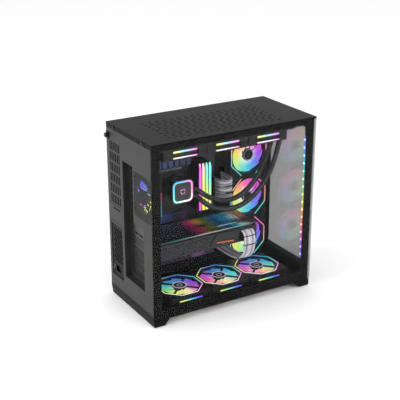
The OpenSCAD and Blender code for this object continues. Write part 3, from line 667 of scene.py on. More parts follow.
def blade_mesh(hub, tip, low, high, count, pitch, overlap):
    """One swept blade, closed, with its chord position kept for the finish."""
    along, across = 10, 8
    span = 2 * math.pi / count * overlap
    half = 0.7 * MM
    bm = bmesh.new()
    chord = bm.verts.layers.float.new("chord")
    skins = []
    for side in (-1, 1):
        grid = []
        for i in range(along + 1):
            t = i / along
            radius = hub - 0.6 * MM + (tip - hub + 0.6 * MM) * t
            sweep = 0.42 * t * t
            line = []
            for j in range(across + 1):
                s = j / across
                angle = sweep + (s - 0.5) * span
                arch = math.sin(math.pi * s) * 1.2 * MM
                height = low + (high - low) * (pitch[0] + pitch[1] * s) * (1 - 0.2 * t) + arch
                vert = bm.verts.new((radius * math.cos(angle), radius * math.sin(angle),
                                     height + side * half))
                vert[chord] = min(1.0, 0.25 + 1.4 * math.sin(math.pi * (0.08 + 0.84 * s)))
                line.append(vert)
            grid.append(line)
        skins.append(grid)
    for grid, flip in ((skins[0], True), (skins[1], False)):
        for i in range(along):
            for j in range(across):
                face = [grid[i][j], grid[i + 1][j], grid[i + 1][j + 1], grid[i][j + 1]]
                bm.faces.new(face[::-1] if flip else face)
    rim = ([(i, 0) for i in range(along)] + [(along, j) for j in range(across)]
           + [(i, across) for i in range(along, 0, -1)] + [(0, j) for j in range(across, 0, -1)])
    for k, (i, j) in enumerate(rim):
        m, n = rim[(k + 1) % len(rim)]
        bm.faces.new([skins[0][i][j], skins[0][m][n], skins[1][m][n], skins[1][i][j]])
    return mesh_from(bm, "blade", smooth=True)


def rotor_mesh(name, place, glow, turn, hub, tip, low, high, count, pitch, overlap,
               pin=3.05 * MM):
    """Blades and hub about Z, then set in place; turn rotates the colours on the disc."""
    blades = grow(RING, blade_mesh(hub, tip, low, high, count, pitch, overlap), glow,
                  Count=count)
    uv = blades.uv_layers.new(name="disc")
    spin = Matrix.Rotation(turn, 2)
    for loop in blades.loops:
        uv.data[loop.index].uv = spin @ blades.vertices[loop.vertex_index].co.to_2d()
    bm = bmesh.new()
    floor = low - 0.5 * MM
    roof = high + 0.5 * MM
    soft = 1.5 * MM
    add_lathe(bm, [(pin, floor), (hub, floor), (hub, roof - soft), (hub - soft, roof),
                   (0, roof)], (0, 0, 0), (0, 0, 1), 0, 40)
    well = floor + 11 * MM
    add_lathe(bm, [(0, well), (pin, well), (pin, floor)], (0, 0, 0), (0, 0, 1), 0, 40)
    bmesh.ops.remove_doubles(bm, verts=bm.verts, dist=1e-6)
    ring_top = roof + 0.25 * MM
    for base, face in ((roof - 0.3 * MM, ring_top), (floor + 0.3 * MM, floor - 0.25 * MM)):
        add_lathe(bm, [(hub - 3.4 * MM, base), (hub - 1.6 * MM, base), (hub - 1.6 * MM, face),
                       (hub - 3.4 * MM, face), (hub - 3.4 * MM, base)], (0, 0, 0), (0, 0, 1), 1, 40)
    bmesh.ops.remove_doubles(bm, verts=bm.verts, dist=1e-6)
    core = smooth_by_angle(mesh_from(bm, "hub"))
    core.materials.append(satin_black)
    core.materials.append(hub_ring)
    whole = joined(name, blades, core)
    whole.transform(place)
    return whole


def place_of(frame_box, index, along, turn, face):
    """The matrix of a fan: the middle of its frame, its axis turned, its strut side at face."""
    low, high = frame_box
    centre = (low + high) / 2
    if along is not None:
        step = (high[along] - low[along]) / 3
        centre[along] = low[along] + step * (index + 0.5)
    axis = turn @ Vector((0, 0, 1))
    level = max(range(3), key=lambda k: abs(axis[k]))
    centre[level] = face
    return Matrix.Translation(centre) @ turn.to_4x4()


FACE_DOWN = Matrix.Rotation(math.pi, 3, "X")
FACE_NEAR = Matrix.Rotation(math.pi / 2, 3, "X")
FACE_FRONT = Matrix.Rotation(math.pi / 2, 3, "Y")
roof_box, side_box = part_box("roof_fan_frames"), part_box("side_fan_frames")
floor_box, rear_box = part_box("floor_fan_frames"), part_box("rear_fan_frame")
fan_places = {}
for i in range(3):
    fan_places[f"roof_rotor_{i + 1}"] = place_of(roof_box, i, 0, FACE_DOWN, roof_box[1].z)
    fan_places[f"side_rotor_{i + 1}"] = place_of(side_box, i, 2, FACE_NEAR, side_box[1].y)
    fan_places[f"floor_rotor_{i + 1}"] = place_of(floor_box, i, 0, FACE_DOWN, floor_box[1].z)
fan_places["rear_rotor"] = place_of(rear_box, 0, None, FACE_FRONT, rear_box[0].x)

# %% Rotors of the case fans
disc_turn = {"side_rotor_3": 0.1, "side_rotor_2": 0.0, "side_rotor_1": -0.35}
for name, place in fan_places.items():
    small, flat = name == "rear_rotor", name.startswith("floor")
    hub = (15 if small else 16.8) * MM
    glow = rear_glow if small else floor_glows[int(name[-1]) - 1] if flat else side_glow
    pitch, overlap = FLAT_BLADES if flat else STEEP_BLADES
    shape = rotor_mesh(name + "_blades", place, glow, disc_turn.get(name, 0.0),
                       hub, (40.8 if small else 50.3) * MM, 4.5 * MM, 22.5 * MM,
                       REAR_BLADES if small else CASE_BLADES, pitch, overlap)
    piece(name + "_blades", shape, name, "rotor_plastic", name)

# %% [markdown]
# ## Light outlines and bars
# The fans on the wall and on the floor carry light stretches along the sides of an octagon round
# their opening, six on the wall fans and eight on the floor fans, with a different colour on each
# stretch. The roof fans also have two round-ended bars on the side towards the glass, and the
# floor fans one.

# %% Octagon light lines
def octagon_lines(place, sides, apothem=55.5 * MM, width=1.7 * MM, proud=0.9 * MM):
    """Round-backed light stretches along some of an octagon's sides."""
    half = apothem * math.tan(math.pi / 8) - 0.4 * MM
    bm = bmesh.new()
    for side in sides:
        turn = Matrix.Rotation(math.radians(side), 4, "Z")
        outline = rounded_rectangle(width, 2 * half, width / 2 * 0.98, 3)
        spot = place @ turn @ Matrix.Translation((apothem, 0, -0.05 * MM))
        add_prism(bm, outline, proud, spot)
    return mesh_from(bm, "lines")


SIDE_LINE = [(0.0, "#6fe9e4"), (0.1, "#5fe3e0"), (0.25, "#62e6df"), (0.4, "#58e0cf"),
             (0.5, "#ffa070"), (0.6, "#ff7fc8"), (0.75, "#ff8fd0"), (0.88, "#ffb79a"),
             (0.97, "#ffd9b0"), (1.0, "#6fe9e4")]
FLOOR_LINE = [(0.0, "#f0e05a"), (0.12, "#d8f0e8"), (0.25, "#fff4ff"), (0.4, "#ff8fe8"),
              (0.5, "#58d8d0"), (0.62, "#3f9fd8"), (0.75, "#4f7fd8"), (0.9, "#c8e070"),
              (1.0, "#f0e05a")]
side_meshes, floor_meshes = [], []
for i in range(3):
    side_place = fan_places[f"side_rotor_{i + 1}"] @ Matrix.Translation((0, 0, 25 * MM))
    floor_place = (fan_places[f"floor_rotor_{i + 1}"]
                   @ Matrix.Translation((0, 0, -0.9 * MM)))
    for places, spot, sides, stops, label in (
            (side_meshes, side_place, (0, 45, 135, 180, 225, 315), SIDE_LINE, "side"),
            (floor_meshes, floor_place, range(0, 360, 45), FLOOR_LINE, "floor")):
        axes = ("X", "Z") if label == "side" else ("X", "Y")
        centre = spot.translation
        mesh = octagon_lines(spot, sides)
        mesh.materials.append(lit_round(f"{label} line {i + 1}", centre, axes, stops, 1.5))
        places.append(mesh)
piece("side_fan_lines", joined("side_fan_lines", *side_meshes), "chassis", "light_line")
piece("floor_fan_lines", joined("floor_fan_lines", *floor_meshes), "chassis", "light_line",
      "fan_lights")

# %% Light bars on the fans' near sides
def bar_mesh(length, height, depth, low):
    """A round-ended bar that lies along X and looks towards -Y."""
    bm = bmesh.new()
    outline = rounded_rectangle(length, height, height / 2 * 0.98, 5)
    place = Matrix.Translation(low) @ Matrix.Rotation(math.pi / 2, 4, "X")
    add_prism(bm, outline, depth, place)
    return mesh_from(bm, "bar")


def light_bars(name, frame_box, level, height, stops, strength):
    low, high = frame_box
    pitch = (high.x - low.x) / 3
    shape = bar_mesh(66 * MM, height, 1.2 * MM,
                     Vector((low.x + pitch / 2, low.y + 0.3 * MM, level)))
    start = low.x + pitch / 2 - 33 * MM
    material, tree, shader, ramp = lit(name, stops, strength)
    place = add_node(tree, "ShaderNodeTexCoord")
    split = add_node(tree, "ShaderNodeSeparateXYZ")
    shift = add_node(tree, "ShaderNodeMath", operation="SUBTRACT")
    wrap = add_node(tree, "ShaderNodeMath", operation="FLOORED_MODULO")
    reach = add_node(tree, "ShaderNodeMath", operation="DIVIDE")
    shift.inputs[1].default_value, wrap.inputs[1].default_value = start, pitch
    reach.inputs[1].default_value = 66 * MM
    link = tree.links.new
    link(place.outputs["Object"], split.inputs["Vector"])
    link(split.outputs["X"], shift.inputs[0])
    link(shift.outputs["Value"], wrap.inputs[0])
    link(wrap.outputs["Value"], reach.inputs[0])
    link(reach.outputs["Value"], ramp.inputs["Fac"])
    mesh = grow(ROW, shape, material, Count=3, Step=(pitch, 0, 0))
    piece(name, mesh, "chassis", "light_line")


light_bars("roof_bars_upper", roof_box, roof_box[0].z + 20 * MM, 4.4 * MM,
           [(0, "#fff58a"), (0.25, "#d8f59a"), (0.45, "#62e6f0"), (0.65, "#c9b0f5"),
            (1, "#f06fe0")], 1.7)
light_bars("roof_bars_lower", roof_box, roof_box[0].z + 5 * MM, 2.6 * MM,
           [(0, "#fff7c8"), (0.4, "#f5f5ff"), (0.7, "#f0c8f5"), (1, "#f08fe0")], 1.7)
light_bars("floor_bars", floor_box, floor_box[0].z + 11 * MM, 2.8 * MM,
           [(0, "#f5e85a"), (0.3, "#a8ee9a"), (0.55, "#4fd0f0"), (0.8, "#5f6cf2"),
            (1, "#8a4fe8")], 1.4)

# %% [markdown]
# ## Glass
# The side pane is clear with a black printed border that hides the steel edges. The border is
# ink on the inner face, so it is a thin frame of its own that moves with the pane. The front
# pane is smoked. Both panes are a gloss surface with a plain, low alpha, which keeps the
# reflections sharp.

# %% Panes
def pane(name, color, alpha, level, ior=1.5):
    material = bpy.data.materials.new(name)
    tree, shader = nodes_of(material)
    smear = noise(tree, 9, 2)
    tree.links.new(spread(tree, smear, 0.012, 0.03), shader.inputs["Roughness"])
    shader.inputs["Base Color"].default_value = paint(color)
    shader.inputs["Alpha"].default_value = alpha
    shader.inputs["Specular IOR Level"].default_value = level
    shader.inputs["IOR"].default_value = ior
    return material


dress(pane("clear glass", "#0a0c0e", 0.1, 0.5), "side_glass")
dress(pane("smoked glass", "#4a4a4c", 0.47, 1.0, 1.9), "front_glass")


def add_frame(bm, outer, inner, depth, place, material=0):
    """A flat frame between two outlines with the same number of corners."""
    rings = [[bm.verts.new(place @ Vector((x, y, z))) for x, y in line]
             for line, z in ((outer, 0), (inner, 0), (inner, depth), (outer, depth))]
    count = len(outer)
    for first, second in zip(rings, rings[1:] + rings[:1]):
        for k in range(count):
            after = (k + 1) % count
            face = bm.faces.new([first[k], second[k], second[after], first[after]])
            face.material_index = material


def window_outline(low, high, radius):
    """A rounded rectangle between two corners of a plane."""
    mid_u, mid_v = (low[0] + high[0]) / 2, (low[1] + high[1]) / 2
    return [(u + mid_u, v + mid_v)
            for u, v in rounded_rectangle(high[0] - low[0], high[1] - low[1], radius)]


UPRIGHT = Matrix.Rotation(math.pi / 2, 4, "X")      # a flat XY shape turned to face -Y
glass_low, glass_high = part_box("side_glass")
ink_face = glass_high.y + 0.25 * MM
bm = bmesh.new()
add_frame(bm, window_outline((glass_low.x, glass_low.z), (glass_high.x, glass_high.z), 0.5 * MM),
          window_outline((glass_low.x + 24 * MM, glass_low.z + 20 * MM),
                         (glass_high.x - 23.5 * MM, glass_high.z - 14 * MM), 3 * MM),
          0.2 * MM, Matrix.Translation((0, ink_face, 0)) @ UPRIGHT)
printed_ink = finish("printed border", "#070708", 0.3, grain=200, depth=0.03, specular=0.08)
piece("side_glass_border", mesh_from(bm, "border"), "side_glass", "tinted_glass",
      materials=[printed_ink])

# %% [markdown]
# ## Light strip
# Behind the printed border a strip of sixteen small lamps runs down the front post. One lamp is a
# little dome; the row tree repeats it. Their colours come from their height.

# %% Lamps of the strip
STRIP = [(0.0, "#5a3cf0"), (0.06, "#4a4cf5"), (0.13, "#a03ce0"), (0.2, "#e83cb4"),
         (0.28, "#f04a5a"), (0.36, "#f5903c"), (0.44, "#f0e050"), (0.52, "#b8f050"),
         (0.6, "#50e070"), (0.7, "#3cd8b4"), (0.8, "#3cd0e8"), (0.9, "#4a8cf5"), (1.0, "#6a5cf5")]
strip_low, strip_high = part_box("led_strip")
height_range = (strip_low.z, strip_high.z)
bm = bmesh.new()
add_block(bm, (strip_low.x + 1.4 * MM, strip_low.y, strip_low.z),
          (strip_high.x, strip_high.y, strip_high.z), 0, 0.4 * MM)
strip_body = mesh_from(bm, "strip body")
strip_body.materials.append(lit_along("strip glow", "Z", *height_range, STRIP, 0.9))
bm = bmesh.new()
lamp_r = 2.6 * MM
lamp_x, lamp_y = strip_low.x + 1.45 * MM, (strip_low.y + strip_high.y) / 2
add_lathe(bm, [(0, 0), (lamp_r, 0), (lamp_r, 0.7 * MM), (lamp_r * 0.7, 1.3 * MM), (0, 1.45 * MM)],
          (lamp_x, lamp_y, strip_low.z + 11 * MM), (-1, 0, 0), 0, 14)
lamp_shape = mesh_from(bm, "lamp", smooth=True)
pale_strip = [(place, "#" + "".join(f"{(int(code[i:i + 2], 16) + 255 * 2) // 3:02x}"
                                    for i in (1, 3, 5))) for place, code in STRIP]
lamps = grow(ROW, lamp_shape, lit_along("strip lamps", "Z", *height_range, pale_strip, 2.6),
             Count=16, Step=(0, 0, 21.3 * MM))
piece("strip_lamps", joined("strip_lamps", strip_body, lamps), "chassis", "light_strip",
      "led_strip")

# %% [markdown]
# ## Pump cap, memory and hub rings
# The pump's cap has a frosted ring whose colour goes round with the angle, and a small mark of
# dots. Every memory module carries a light guide along its edge with a colour run of its own.

# %% Pump ring and mark
pump_low, pump_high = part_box("pump_light")
pump_mid = (pump_low + pump_high) / 2
PUMP = [(0.0, "#58d8e8"), (0.12, "#7ff0d8"), (0.25, "#e8fff0"), (0.38, "#ffe8f4"),
        (0.5, "#f58fc8"), (0.62, "#f080d0"), (0.75, "#6ab8f0"), (0.88, "#58b8e8"),
        (1.0, "#58d8e8")]
dress(lit_round("pump ring", pump_mid, ("X", "Z"), PUMP, 1.7), "pump_light")
bm = bmesh.new()
add_lathe(bm, [(0, 0), (1.1 * MM, 0), (1.0 * MM, 0.3 * MM), (0, 0.35 * MM)], (0, 0, 0),
          (0, 0, 1), 0, 12)
dot = mesh_from(bm, "dot", smooth=True)
cap_face = pump_low.y + 0.65 * MM
spots = [((pump_mid.x + 6 * MM * math.cos(a), cap_face, pump_mid.z + 6 * MM * math.sin(a)),
          (math.pi / 2, 0, 0), (1.0 + 0.5 * (k % 2),) * 2 + (1.0,))
         for k, a in ((k, 2 * math.pi * k / 8) for k in range(8))]
mark_glow = lit_along("pump mark", "X", pump_mid.x - 7 * MM, pump_mid.x + 7 * MM,
                      [(0, "#f0c8ff"), (1, "#f060c0")], 1.4)
piece("pump_mark", stamped_mesh(dot, spots, mark_glow), "chassis", "light_bar")

# %% Memory light guides
MEMORY = ([(0, "#e04fb8"), (0.5, "#f06fd8"), (0.93, "#e858d0"), (1, "#ffc8f0")],
          [(0, "#f0f050"), (0.45, "#f2e87a"), (0.85, "#ffd8b8"), (1, "#ffd0c8")],
          [(0, "#f0f260"), (0.45, "#b8f07a"), (0.8, "#7ff0c8"), (1, "#8ff5e8")],
          [(0, "#f5f070"), (0.3, "#c8f0a0"), (0.7, "#5fe0e0"), (1, "#7ff0f5")])
guide_low, guide_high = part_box("memory_lights")
stick_pitch = (guide_high.x - guide_low.x - 4.8 * MM) / 3
guides = []
for k, stops in enumerate(MEMORY):
    bm = bmesh.new()
    near, far = guide_low.y, guide_high.y
    low, top = guide_low.z, guide_high.z
    side = [(far, low), (near + 1 * MM, low + 1.2 * MM), (near, low + 3 * MM),
            (near, top - 13 * MM), (near + 0.6 * MM, top - 11 * MM), (far, top)]
    stand = Matrix(((0, 0, 1, guide_low.x + k * stick_pitch), (1, 0, 0, 0), (0, 1, 0, 0),
                    (0, 0, 0, 1)))
    add_prism(bm, side, 4.8 * MM, stand)
    bmesh.ops.bevel(bm, geom=list(bm.edges), offset=0.5 * MM, segments=2, affect="EDGES")
    mesh = mesh_from(bm, f"guide {k + 1}")
    mesh.materials.append(lit_along(f"memory guide {k + 1}", "Z", low, top, stops, 1.5))
    guides.append(mesh)
piece("memory_guides", joined("memory_guides", *guides), "chassis", "light_bar", "memory_lights")

# %% Bright rings on the floor fans' hubs
bm = bmesh.new()
for i in range(3):
    hub_face = fan_places[f"floor_rotor_{i + 1}"].translation
    for inner, outer, rise in ((16.4, 18.2, 0.7), (6.5, 7.2, 0.5)):
        add_lathe(bm, [(inner * MM, 0), (outer * MM, 0), (outer * MM, rise * MM),
                       (inner * MM, rise * MM), (inner * MM, 0)],
                  hub_face, (0, 0, 1), 0, 40)
bmesh.ops.remove_doubles(bm, verts=bm.verts, dist=1e-6)
piece("floor_hub_rings", smooth_by_angle(mesh_from(bm, "rings")), "chassis", "light_line",
      materials=[lit_along("hub ring light", "Z", 0, 1, [(0, "#d8d0e8"), (1, "#ffffff")], 0.9)])

# %% [markdown]
# ## Coolant tubes
# Two rubber tubes in a black braid run from the pump up to the radiator. Their routes are listed
# points; a smooth path goes through them and the sleeve tree gives it a round section.
# The braid is a fine crossed pattern in the finish, and metal collars close the ends.

# %% Tubes and collars
NEAR_TUBE = [(-61, -16, 288), (-56, -20, 286), (-49, -32, 279), (-38, -41, 268), (-20, -48, 256),
             (4, -52, 249), (36, -56, 247), (70, -57, 255), (102, -57, 274), (131, -56, 304),
             (156, -55, 345), (172, -53, 390), (180, -52, 420), (181, -52, 437)]
FAR_TUBE = [(-61, -16, 306), (-56, -20, 305), (-50, -30, 300), (-38, -36, 290), (-20, -39, 279),
            (6, -41, 269), (36, -42, 266), (66, -41, 272), (98, -38, 290), (128, -34, 320),
            (152, -30, 360), (169, -27, 400), (179, -24, 422), (181, -24, 437)]


def braid(name, color, scale, roughness, sheen=0.0, depth=0.5):
    """A woven finish: two waves that cross, in the object's own coordinates."""
    material = finish(name, color, roughness, grain=800, depth=0.1, vary=0.2)
    tree, shader = nodes_of(material)
    place = add_node(tree, "ShaderNodeTexCoord")
    waves = []
    for angle in (0.7, -0.7):
        turn = add_node(tree, "ShaderNodeMapping")
        turn.inputs["Rotation"].default_value = (angle, angle, angle)
        wave = add_node(tree, "ShaderNodeTexWave")
        wave.inputs["Scale"].default_value = scale
        tree.links.new(place.outputs["Object"], turn.inputs["Vector"])
        tree.links.new(turn.outputs["Vector"], wave.inputs["Vector"])
        waves.append(wave.outputs["Fac"])
    weave = add_node(tree, "ShaderNodeMath", operation="MAXIMUM")
    tree.links.new(waves[0], weave.inputs[0])
    tree.links.new(waves[1], weave.inputs[1])
    bump = add_node(tree, "ShaderNodeBump")
    bump.inputs["Strength"].default_value = depth
    bump.inputs["Distance"].default_value = 0.0005
    tree.links.new(weave.outputs["Value"], bump.inputs["Height"])
    tree.links.new(bump.outputs["Normal"], shader.inputs["Normal"])
    shader.inputs["Sheen Weight"].default_value = sheen
    return material


def in_metres(points, shift=(0, 0, 0)):
    return [(Vector(p) + Vector(shift)) * MM for p in points]


tube_braid = braid("tube braid", "#1c1c22", 260, 0.22, depth=0.25)
tubes = [grow(SLEEVE, path_curve(eased(in_metres(route), 8)), tube_braid, Radius=6.6 * MM,
              Sides=20) for route in (NEAR_TUBE, FAR_TUBE)]
for mesh in tubes:
    smooth_by_angle(mesh, 50)
piece("braided_tubes", joined("braided_tubes", *tubes), "chassis", "tube_rubber",
      "coolant_tubes")
bm = bmesh.new()
for route in (NEAR_TUBE, FAR_TUBE):
    for end, nxt in ((route[0], route[1]), (route[-1], route[-2])):
        along = (Vector(nxt) - Vector(end)).normalized()
        r = 7.8 * MM
        add_lathe(bm, [(0, 0), (r - 0.8 * MM, 0), (r, 0.8 * MM), (r, 8 * MM), (r - 0.6 * MM, 9 * MM),
                       (0, 9 * MM)], Vector(end) * MM, along, 0, 28)
piece("tube_collars", smooth_by_angle(mesh_from(bm, "collars")), "chassis", "port_metal",
      materials=[satin_black])

# %% [markdown]
# ## Sleeved cables
# Each wire of the two power cables has its own woven sleeve, and black combs hold the wires side
# by side. The sleeves are pale, and every other wire's is grey: that darker grey is painted shade
# between the wires. One wire's path is a formula or a short list of points, and the others are the
# same path moved sideways.

# %% Wires of the main cable and of the card's cable
# The grey sleeve on every other wire is painted shade, standing in for the dark lines between
# neighbouring wires.
pale_and_shade_sleeves = [braid("pale sleeve", "#efedf4", 700, 0.55, sheen=0.4, depth=0.4),
           braid("grey sleeve painted shade", "#a5a2b0", 700, 0.55, sheen=0.4, depth=0.4)]
WIRE = 2.3 * MM
arch_mid, arch_r, arch_y = 42 * MM, 19.5 * MM, 1 * MM


def arch_path(level):
    """Out of the board's socket, over an arch towards the glass, and back to the tray."""
    path = [(arch_mid - arch_r, 13 * MM, level), (arch_mid - arch_r, 6 * MM, level)]
    for k in range(17):
        a = math.pi + math.pi * k / 16
        path.append((arch_mid + arch_r * math.cos(a), arch_y + arch_r * math.sin(a), level))
    return path + [(arch_mid + arch_r, 20 * MM, level), (arch_mid + arch_r, 46 * MM, level)]


wires = [grow(SLEEVE, path_curve(arch_path(261.6 * MM + k * 5.2 * MM)), pale_and_shade_sleeves[k % 2],
              Radius=WIRE, Sides=12) for k in range(10)]
for mesh in wires:
    smooth_by_angle(mesh, 50)
piece("main_cable_wires", joined("main_cable_wires", *wires), "chassis", "sleeve",
      "main_power_cable")
CARD_CABLE = [(54, -90.1, 194), (54, -97, 193), (54, -103, 187), (54, -106, 172),
              (54, -105, 150), (53, -98, 130), (51, -82, 116), (49, -60, 110), (48, -30, 108),
              (47, 5, 108), (47, 44, 110)]
wires = []
for ribbon in (-8.6, 8.6):
    for k in range(3):
        shift = (ribbon + (k - 1) * 5.5, 0, 0)
        wires.append(grow(SLEEVE, path_curve(eased(in_metres(CARD_CABLE, shift), 4)),
                          pale_and_shade_sleeves[k % 2], Radius=2.45 * MM, Sides=12))
for mesh in wires:
    smooth_by_angle(mesh, 50)
piece("card_cable_wires", joined("card_cable_wires", *wires), "chassis", "sleeve",
      "card_power_cable")

# %% Combs
bm = bmesh.new()
for k in (2.2, 3.5, 6.0):
    i = int(k)
    place = Vector(CARD_CABLE[i]).lerp(Vector(CARD_CABLE[i + 1]), k - i) * MM
    along = (Vector(CARD_CABLE[i + 1]) - Vector(CARD_CABLE[i])).normalized()
    turn = Vector((0, 0, 1)).rotation_difference(along).to_matrix().to_4x4()
    add_prism(bm, rounded_rectangle(36 * MM, 6.6 * MM, 2 * MM, 3), 2.4 * MM,
              Matrix.Translation(place) @ turn)
for level in (272, 292):
    outer, inner = arch_r + 3.1 * MM, arch_r - 3.1 * MM
    sweep = [math.radians(a) for a in range(190, 351, 10)]
    outline = ([(arch_mid + outer * math.cos(a), arch_y + outer * math.sin(a)) for a in sweep]
               + [(arch_mid + inner * math.cos(a), arch_y + inner * math.sin(a))
                  for a in reversed(sweep)])
    add_prism(bm, outline, 1.6 * MM, Matrix.Translation((0, 0, level * MM)))
piece("wire_combs", mesh_from(bm, "combs"), "chassis", "black_plastic", materials=[satin_black])

# %% [markdown]
# ## Graphics card
# The card's long side towards the glass is built from facets: a slanted rail under the back
# plate, two swept panels and a small orange accent. They are thin prisms on the shroud's face.

# %% Trim of the card
card_low, card_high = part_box("card_shroud")
plate_low, plate_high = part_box("card_backplate")
FACE_NEAR_4 = Matrix.Translation((0, card_low.y, 0)) @ UPRIGHT
facet_dark = finish("facet panel", "#17181c", 0.32, grain=300, depth=0.01)
facet_grey = finish("facet edge", "#4a4c52", 0.25, metallic=0.6, grain=300, depth=0.05)
accent = lit_along("orange accent", "X", card_low.x, card_high.x,
                   [(0, "#e07038"), (1, "#ff8840")], 0.9)


def on_card(u, v):
    """A place on the card's near face, in millimetres from its rear lower corner."""
    return card_low.x + u * MM, card_low.z + v * MM


bm = bmesh.new()
for corners, depth, material in (
        (((2, 30), (150, 33), (166, 39), (2, 39)), 1.6, 0),
        (((160, 14), (205, 10), (250, 10), (250, 36), (176, 36)), 2.0, 0),
        (((2, 6), (120, 6), (150, 12), (146, 26), (2, 26)), 1.4, 0),
        (((262, 4), (297, 8), (297, 38), (286, 38)), 1.8, 0),
        (((4, 28), (150, 30.6), (168, 37.4), (166.6, 38.4), (149, 32), (4, 29.4)), 2.2, 1),
        (((152, 10), (206, 6), (252, 6), (252, 7.6), (206, 7.6), (153, 11.6)), 2.2, 1),
        (((176, 12), (228, 8.4), (228, 10.8), (179, 14.4)), 2.8, 2)):
    add_prism(bm, [on_card(u, v) for u, v in corners], depth * MM, FACE_NEAR_4, material)
piece("card_trim", mesh_from(bm, "trim"), "chassis", "black_plastic",
      materials=[facet_dark, facet_grey, accent])
bm = bmesh.new()
add_block(bm, (plate_low.x, plate_low.y - 0.8 * MM, plate_high.z - 1.4 * MM),
          (plate_high.x - 2 * MM, plate_low.y + 0.4 * MM, plate_high.z + 0.1 * MM), 0, 0.3 * MM)
add_block(bm, (plate_low.x + 196 * MM, plate_low.y + 22 * MM, plate_high.z),
          (plate_low.x + 252 * MM, plate_low.y + 25 * MM, plate_high.z + 0.3 * MM), 0, 0.1 * MM)
piece("card_edge_line", mesh_from(bm, "edge line"), "chassis", "backplate",
      materials=[lit_along("card edge line", "X", plate_low.x, plate_high.x,
                           [(0, "#20343a"), (0.25, "#4fb8b0"), (0.45, "#d8f0e8"),
                            (0.6, "#f0f4e0"), (0.8, "#8fe0d8"), (1, "#404850")], 0.7)])

# %% [markdown]
# ## The board's small parts
# Hundreds of chips and capacitors make a board look like a board. Three small stamps are spread
# over it by the spots tree at places drawn from a seeded generator, so they fall the same way on
# every run. A few tiny glowing dots are painted glints of light on the board.

# %% Chips, capacitors and painted glints on the board
board_low, board_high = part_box("motherboard")
board_face = board_low.y
TOWARD_GLASS = (math.pi / 2, 0, 0)
draw = random.Random(11)


def scatter(count, low_size, high_size, margin=6 * MM):
    """Seeded places on the board's face, with a size for each."""
    spots = []
    for _ in range(count):
        place = (draw.uniform(board_low.x + margin, board_high.x - margin), board_face,
                 draw.uniform(board_low.z + margin, board_high.z - margin))
        size = draw.uniform(low_size, high_size)
        wide = draw.choice((0.6, 1.0, 1.0, 1.7))
        spots.append((place, TOWARD_GLASS, (size * wide, size, size)))
    return spots


bm = bmesh.new()
add_block(bm, (-4 * MM, -4 * MM, 0), (4 * MM, 4 * MM, 1.3 * MM), 0, 0.2 * MM)
chip = mesh_from(bm, "chip")
bm = bmesh.new()
add_lathe(bm, [(0, 0), (3 * MM, 0), (3 * MM, 6.4 * MM), (2.5 * MM, 7 * MM), (0, 7 * MM)],
          (0, 0, 0), (0, 0, 1), 0, 14)
can = smooth_by_angle(mesh_from(bm, "can"))
chip_finish = finish("chip moulding", "#1d1f24", 0.32, grain=500, depth=0.1)
can_finish = finish("capacitor can", "#8e9198", 0.28, metallic=0.9, grain=400)
small_finish = finish("small parts", "#6d6a66", 0.45, metallic=0.3, grain=900)
piece("board_chips", stamped_mesh(chip, scatter(70, 0.5, 1.3), chip_finish), "chassis",
      "circuit_board")
piece("board_small_parts", stamped_mesh(chip, scatter(260, 0.12, 0.3), small_finish), "chassis",
      "circuit_board")
cans = [((board_low.x + u * MM, board_face, board_low.z + v * MM), TOWARD_GLASS, (1, 1, 1))
        for u, v in [(56 + 7.4 * k, 262) for k in range(12)]
        + [(46, 150 + 8 * k) for k in range(12)] + [(30 + 9 * k, 138) for k in range(5)]]
piece("board_capacitors", stamped_mesh(can, cans, can_finish), "chassis", "circuit_board")
# Tiny glowing dots at seeded places on the board are painted glints: light given off by spots that
# are no lamps.
bm = bmesh.new()
add_block(bm, (-1 * MM, -0.7 * MM, 0), (1 * MM, 0.7 * MM, 1.2 * MM), 0, 0.2 * MM)
tiny = mesh_from(bm, "glint dot")
painted_glint_spots = [((draw.uniform(board_low.x + 20 * MM, board_high.x - 8 * MM), board_face - 0.2 * MM,
            draw.uniform(board_low.z + 8 * MM, board_high.z - 20 * MM)), TOWARD_GLASS, (1, 1, 1))
          for _ in range(16)]
painted_glint_glow = lit_along("board lamps", "X", board_low.x, board_high.x,
                       [(0, "#60e0d8"), (0.4, "#f070c8"), (0.7, "#ff8048"), (1, "#d0f0ff")], 2.0)
piece("board_lamps", stamped_mesh(tiny, painted_glint_spots, painted_glint_glow), "chassis", "light_bar")

# %% [markdown]
# ## Metal covers with painted light
# The covers on the board are dark anodised metal, and the coloured light of the fans on them is
# painted on as a weak glow. The ribbed cover by the rear ports gets a painted blue light, and the
# back plate carries a faint iridescent print, a soft colour run broken up by a slow noise, which
# is given as a weak glow and so is painted light too.

# %% Covers with painted light
def painted_glow_finish(name, base, axis, low, high, stops, strength, cloud=0.0):
    """A finish with a weak glow along one axis, painted light on a part that is no lamp, and may be
    broken into patches.
    """
    material = base.copy()
    material.name = name
    tree, shader = nodes_of(material)
    ramp = add_node(tree, "ShaderNodeValToRGB")
    fill_ramp(ramp, stops)
    link = tree.links.new
    link(run_along(tree, axis, low, high), ramp.inputs["Fac"])
    color = ramp.outputs["Color"]
    if cloud:
        patches = spread(tree, noise(tree, cloud, 1.5, (1, 2.2, 1)), 0.0, 1.0)
        dim = add_node(tree, "ShaderNodeVectorMath", operation="SCALE")
        link(color, dim.inputs[0])
        link(patches, dim.inputs["Scale"])
        color = dim.outputs["Vector"]
    link(color, shader.inputs["Emission Color"])
    shader.inputs["Emission Strength"].default_value = strength
    return material
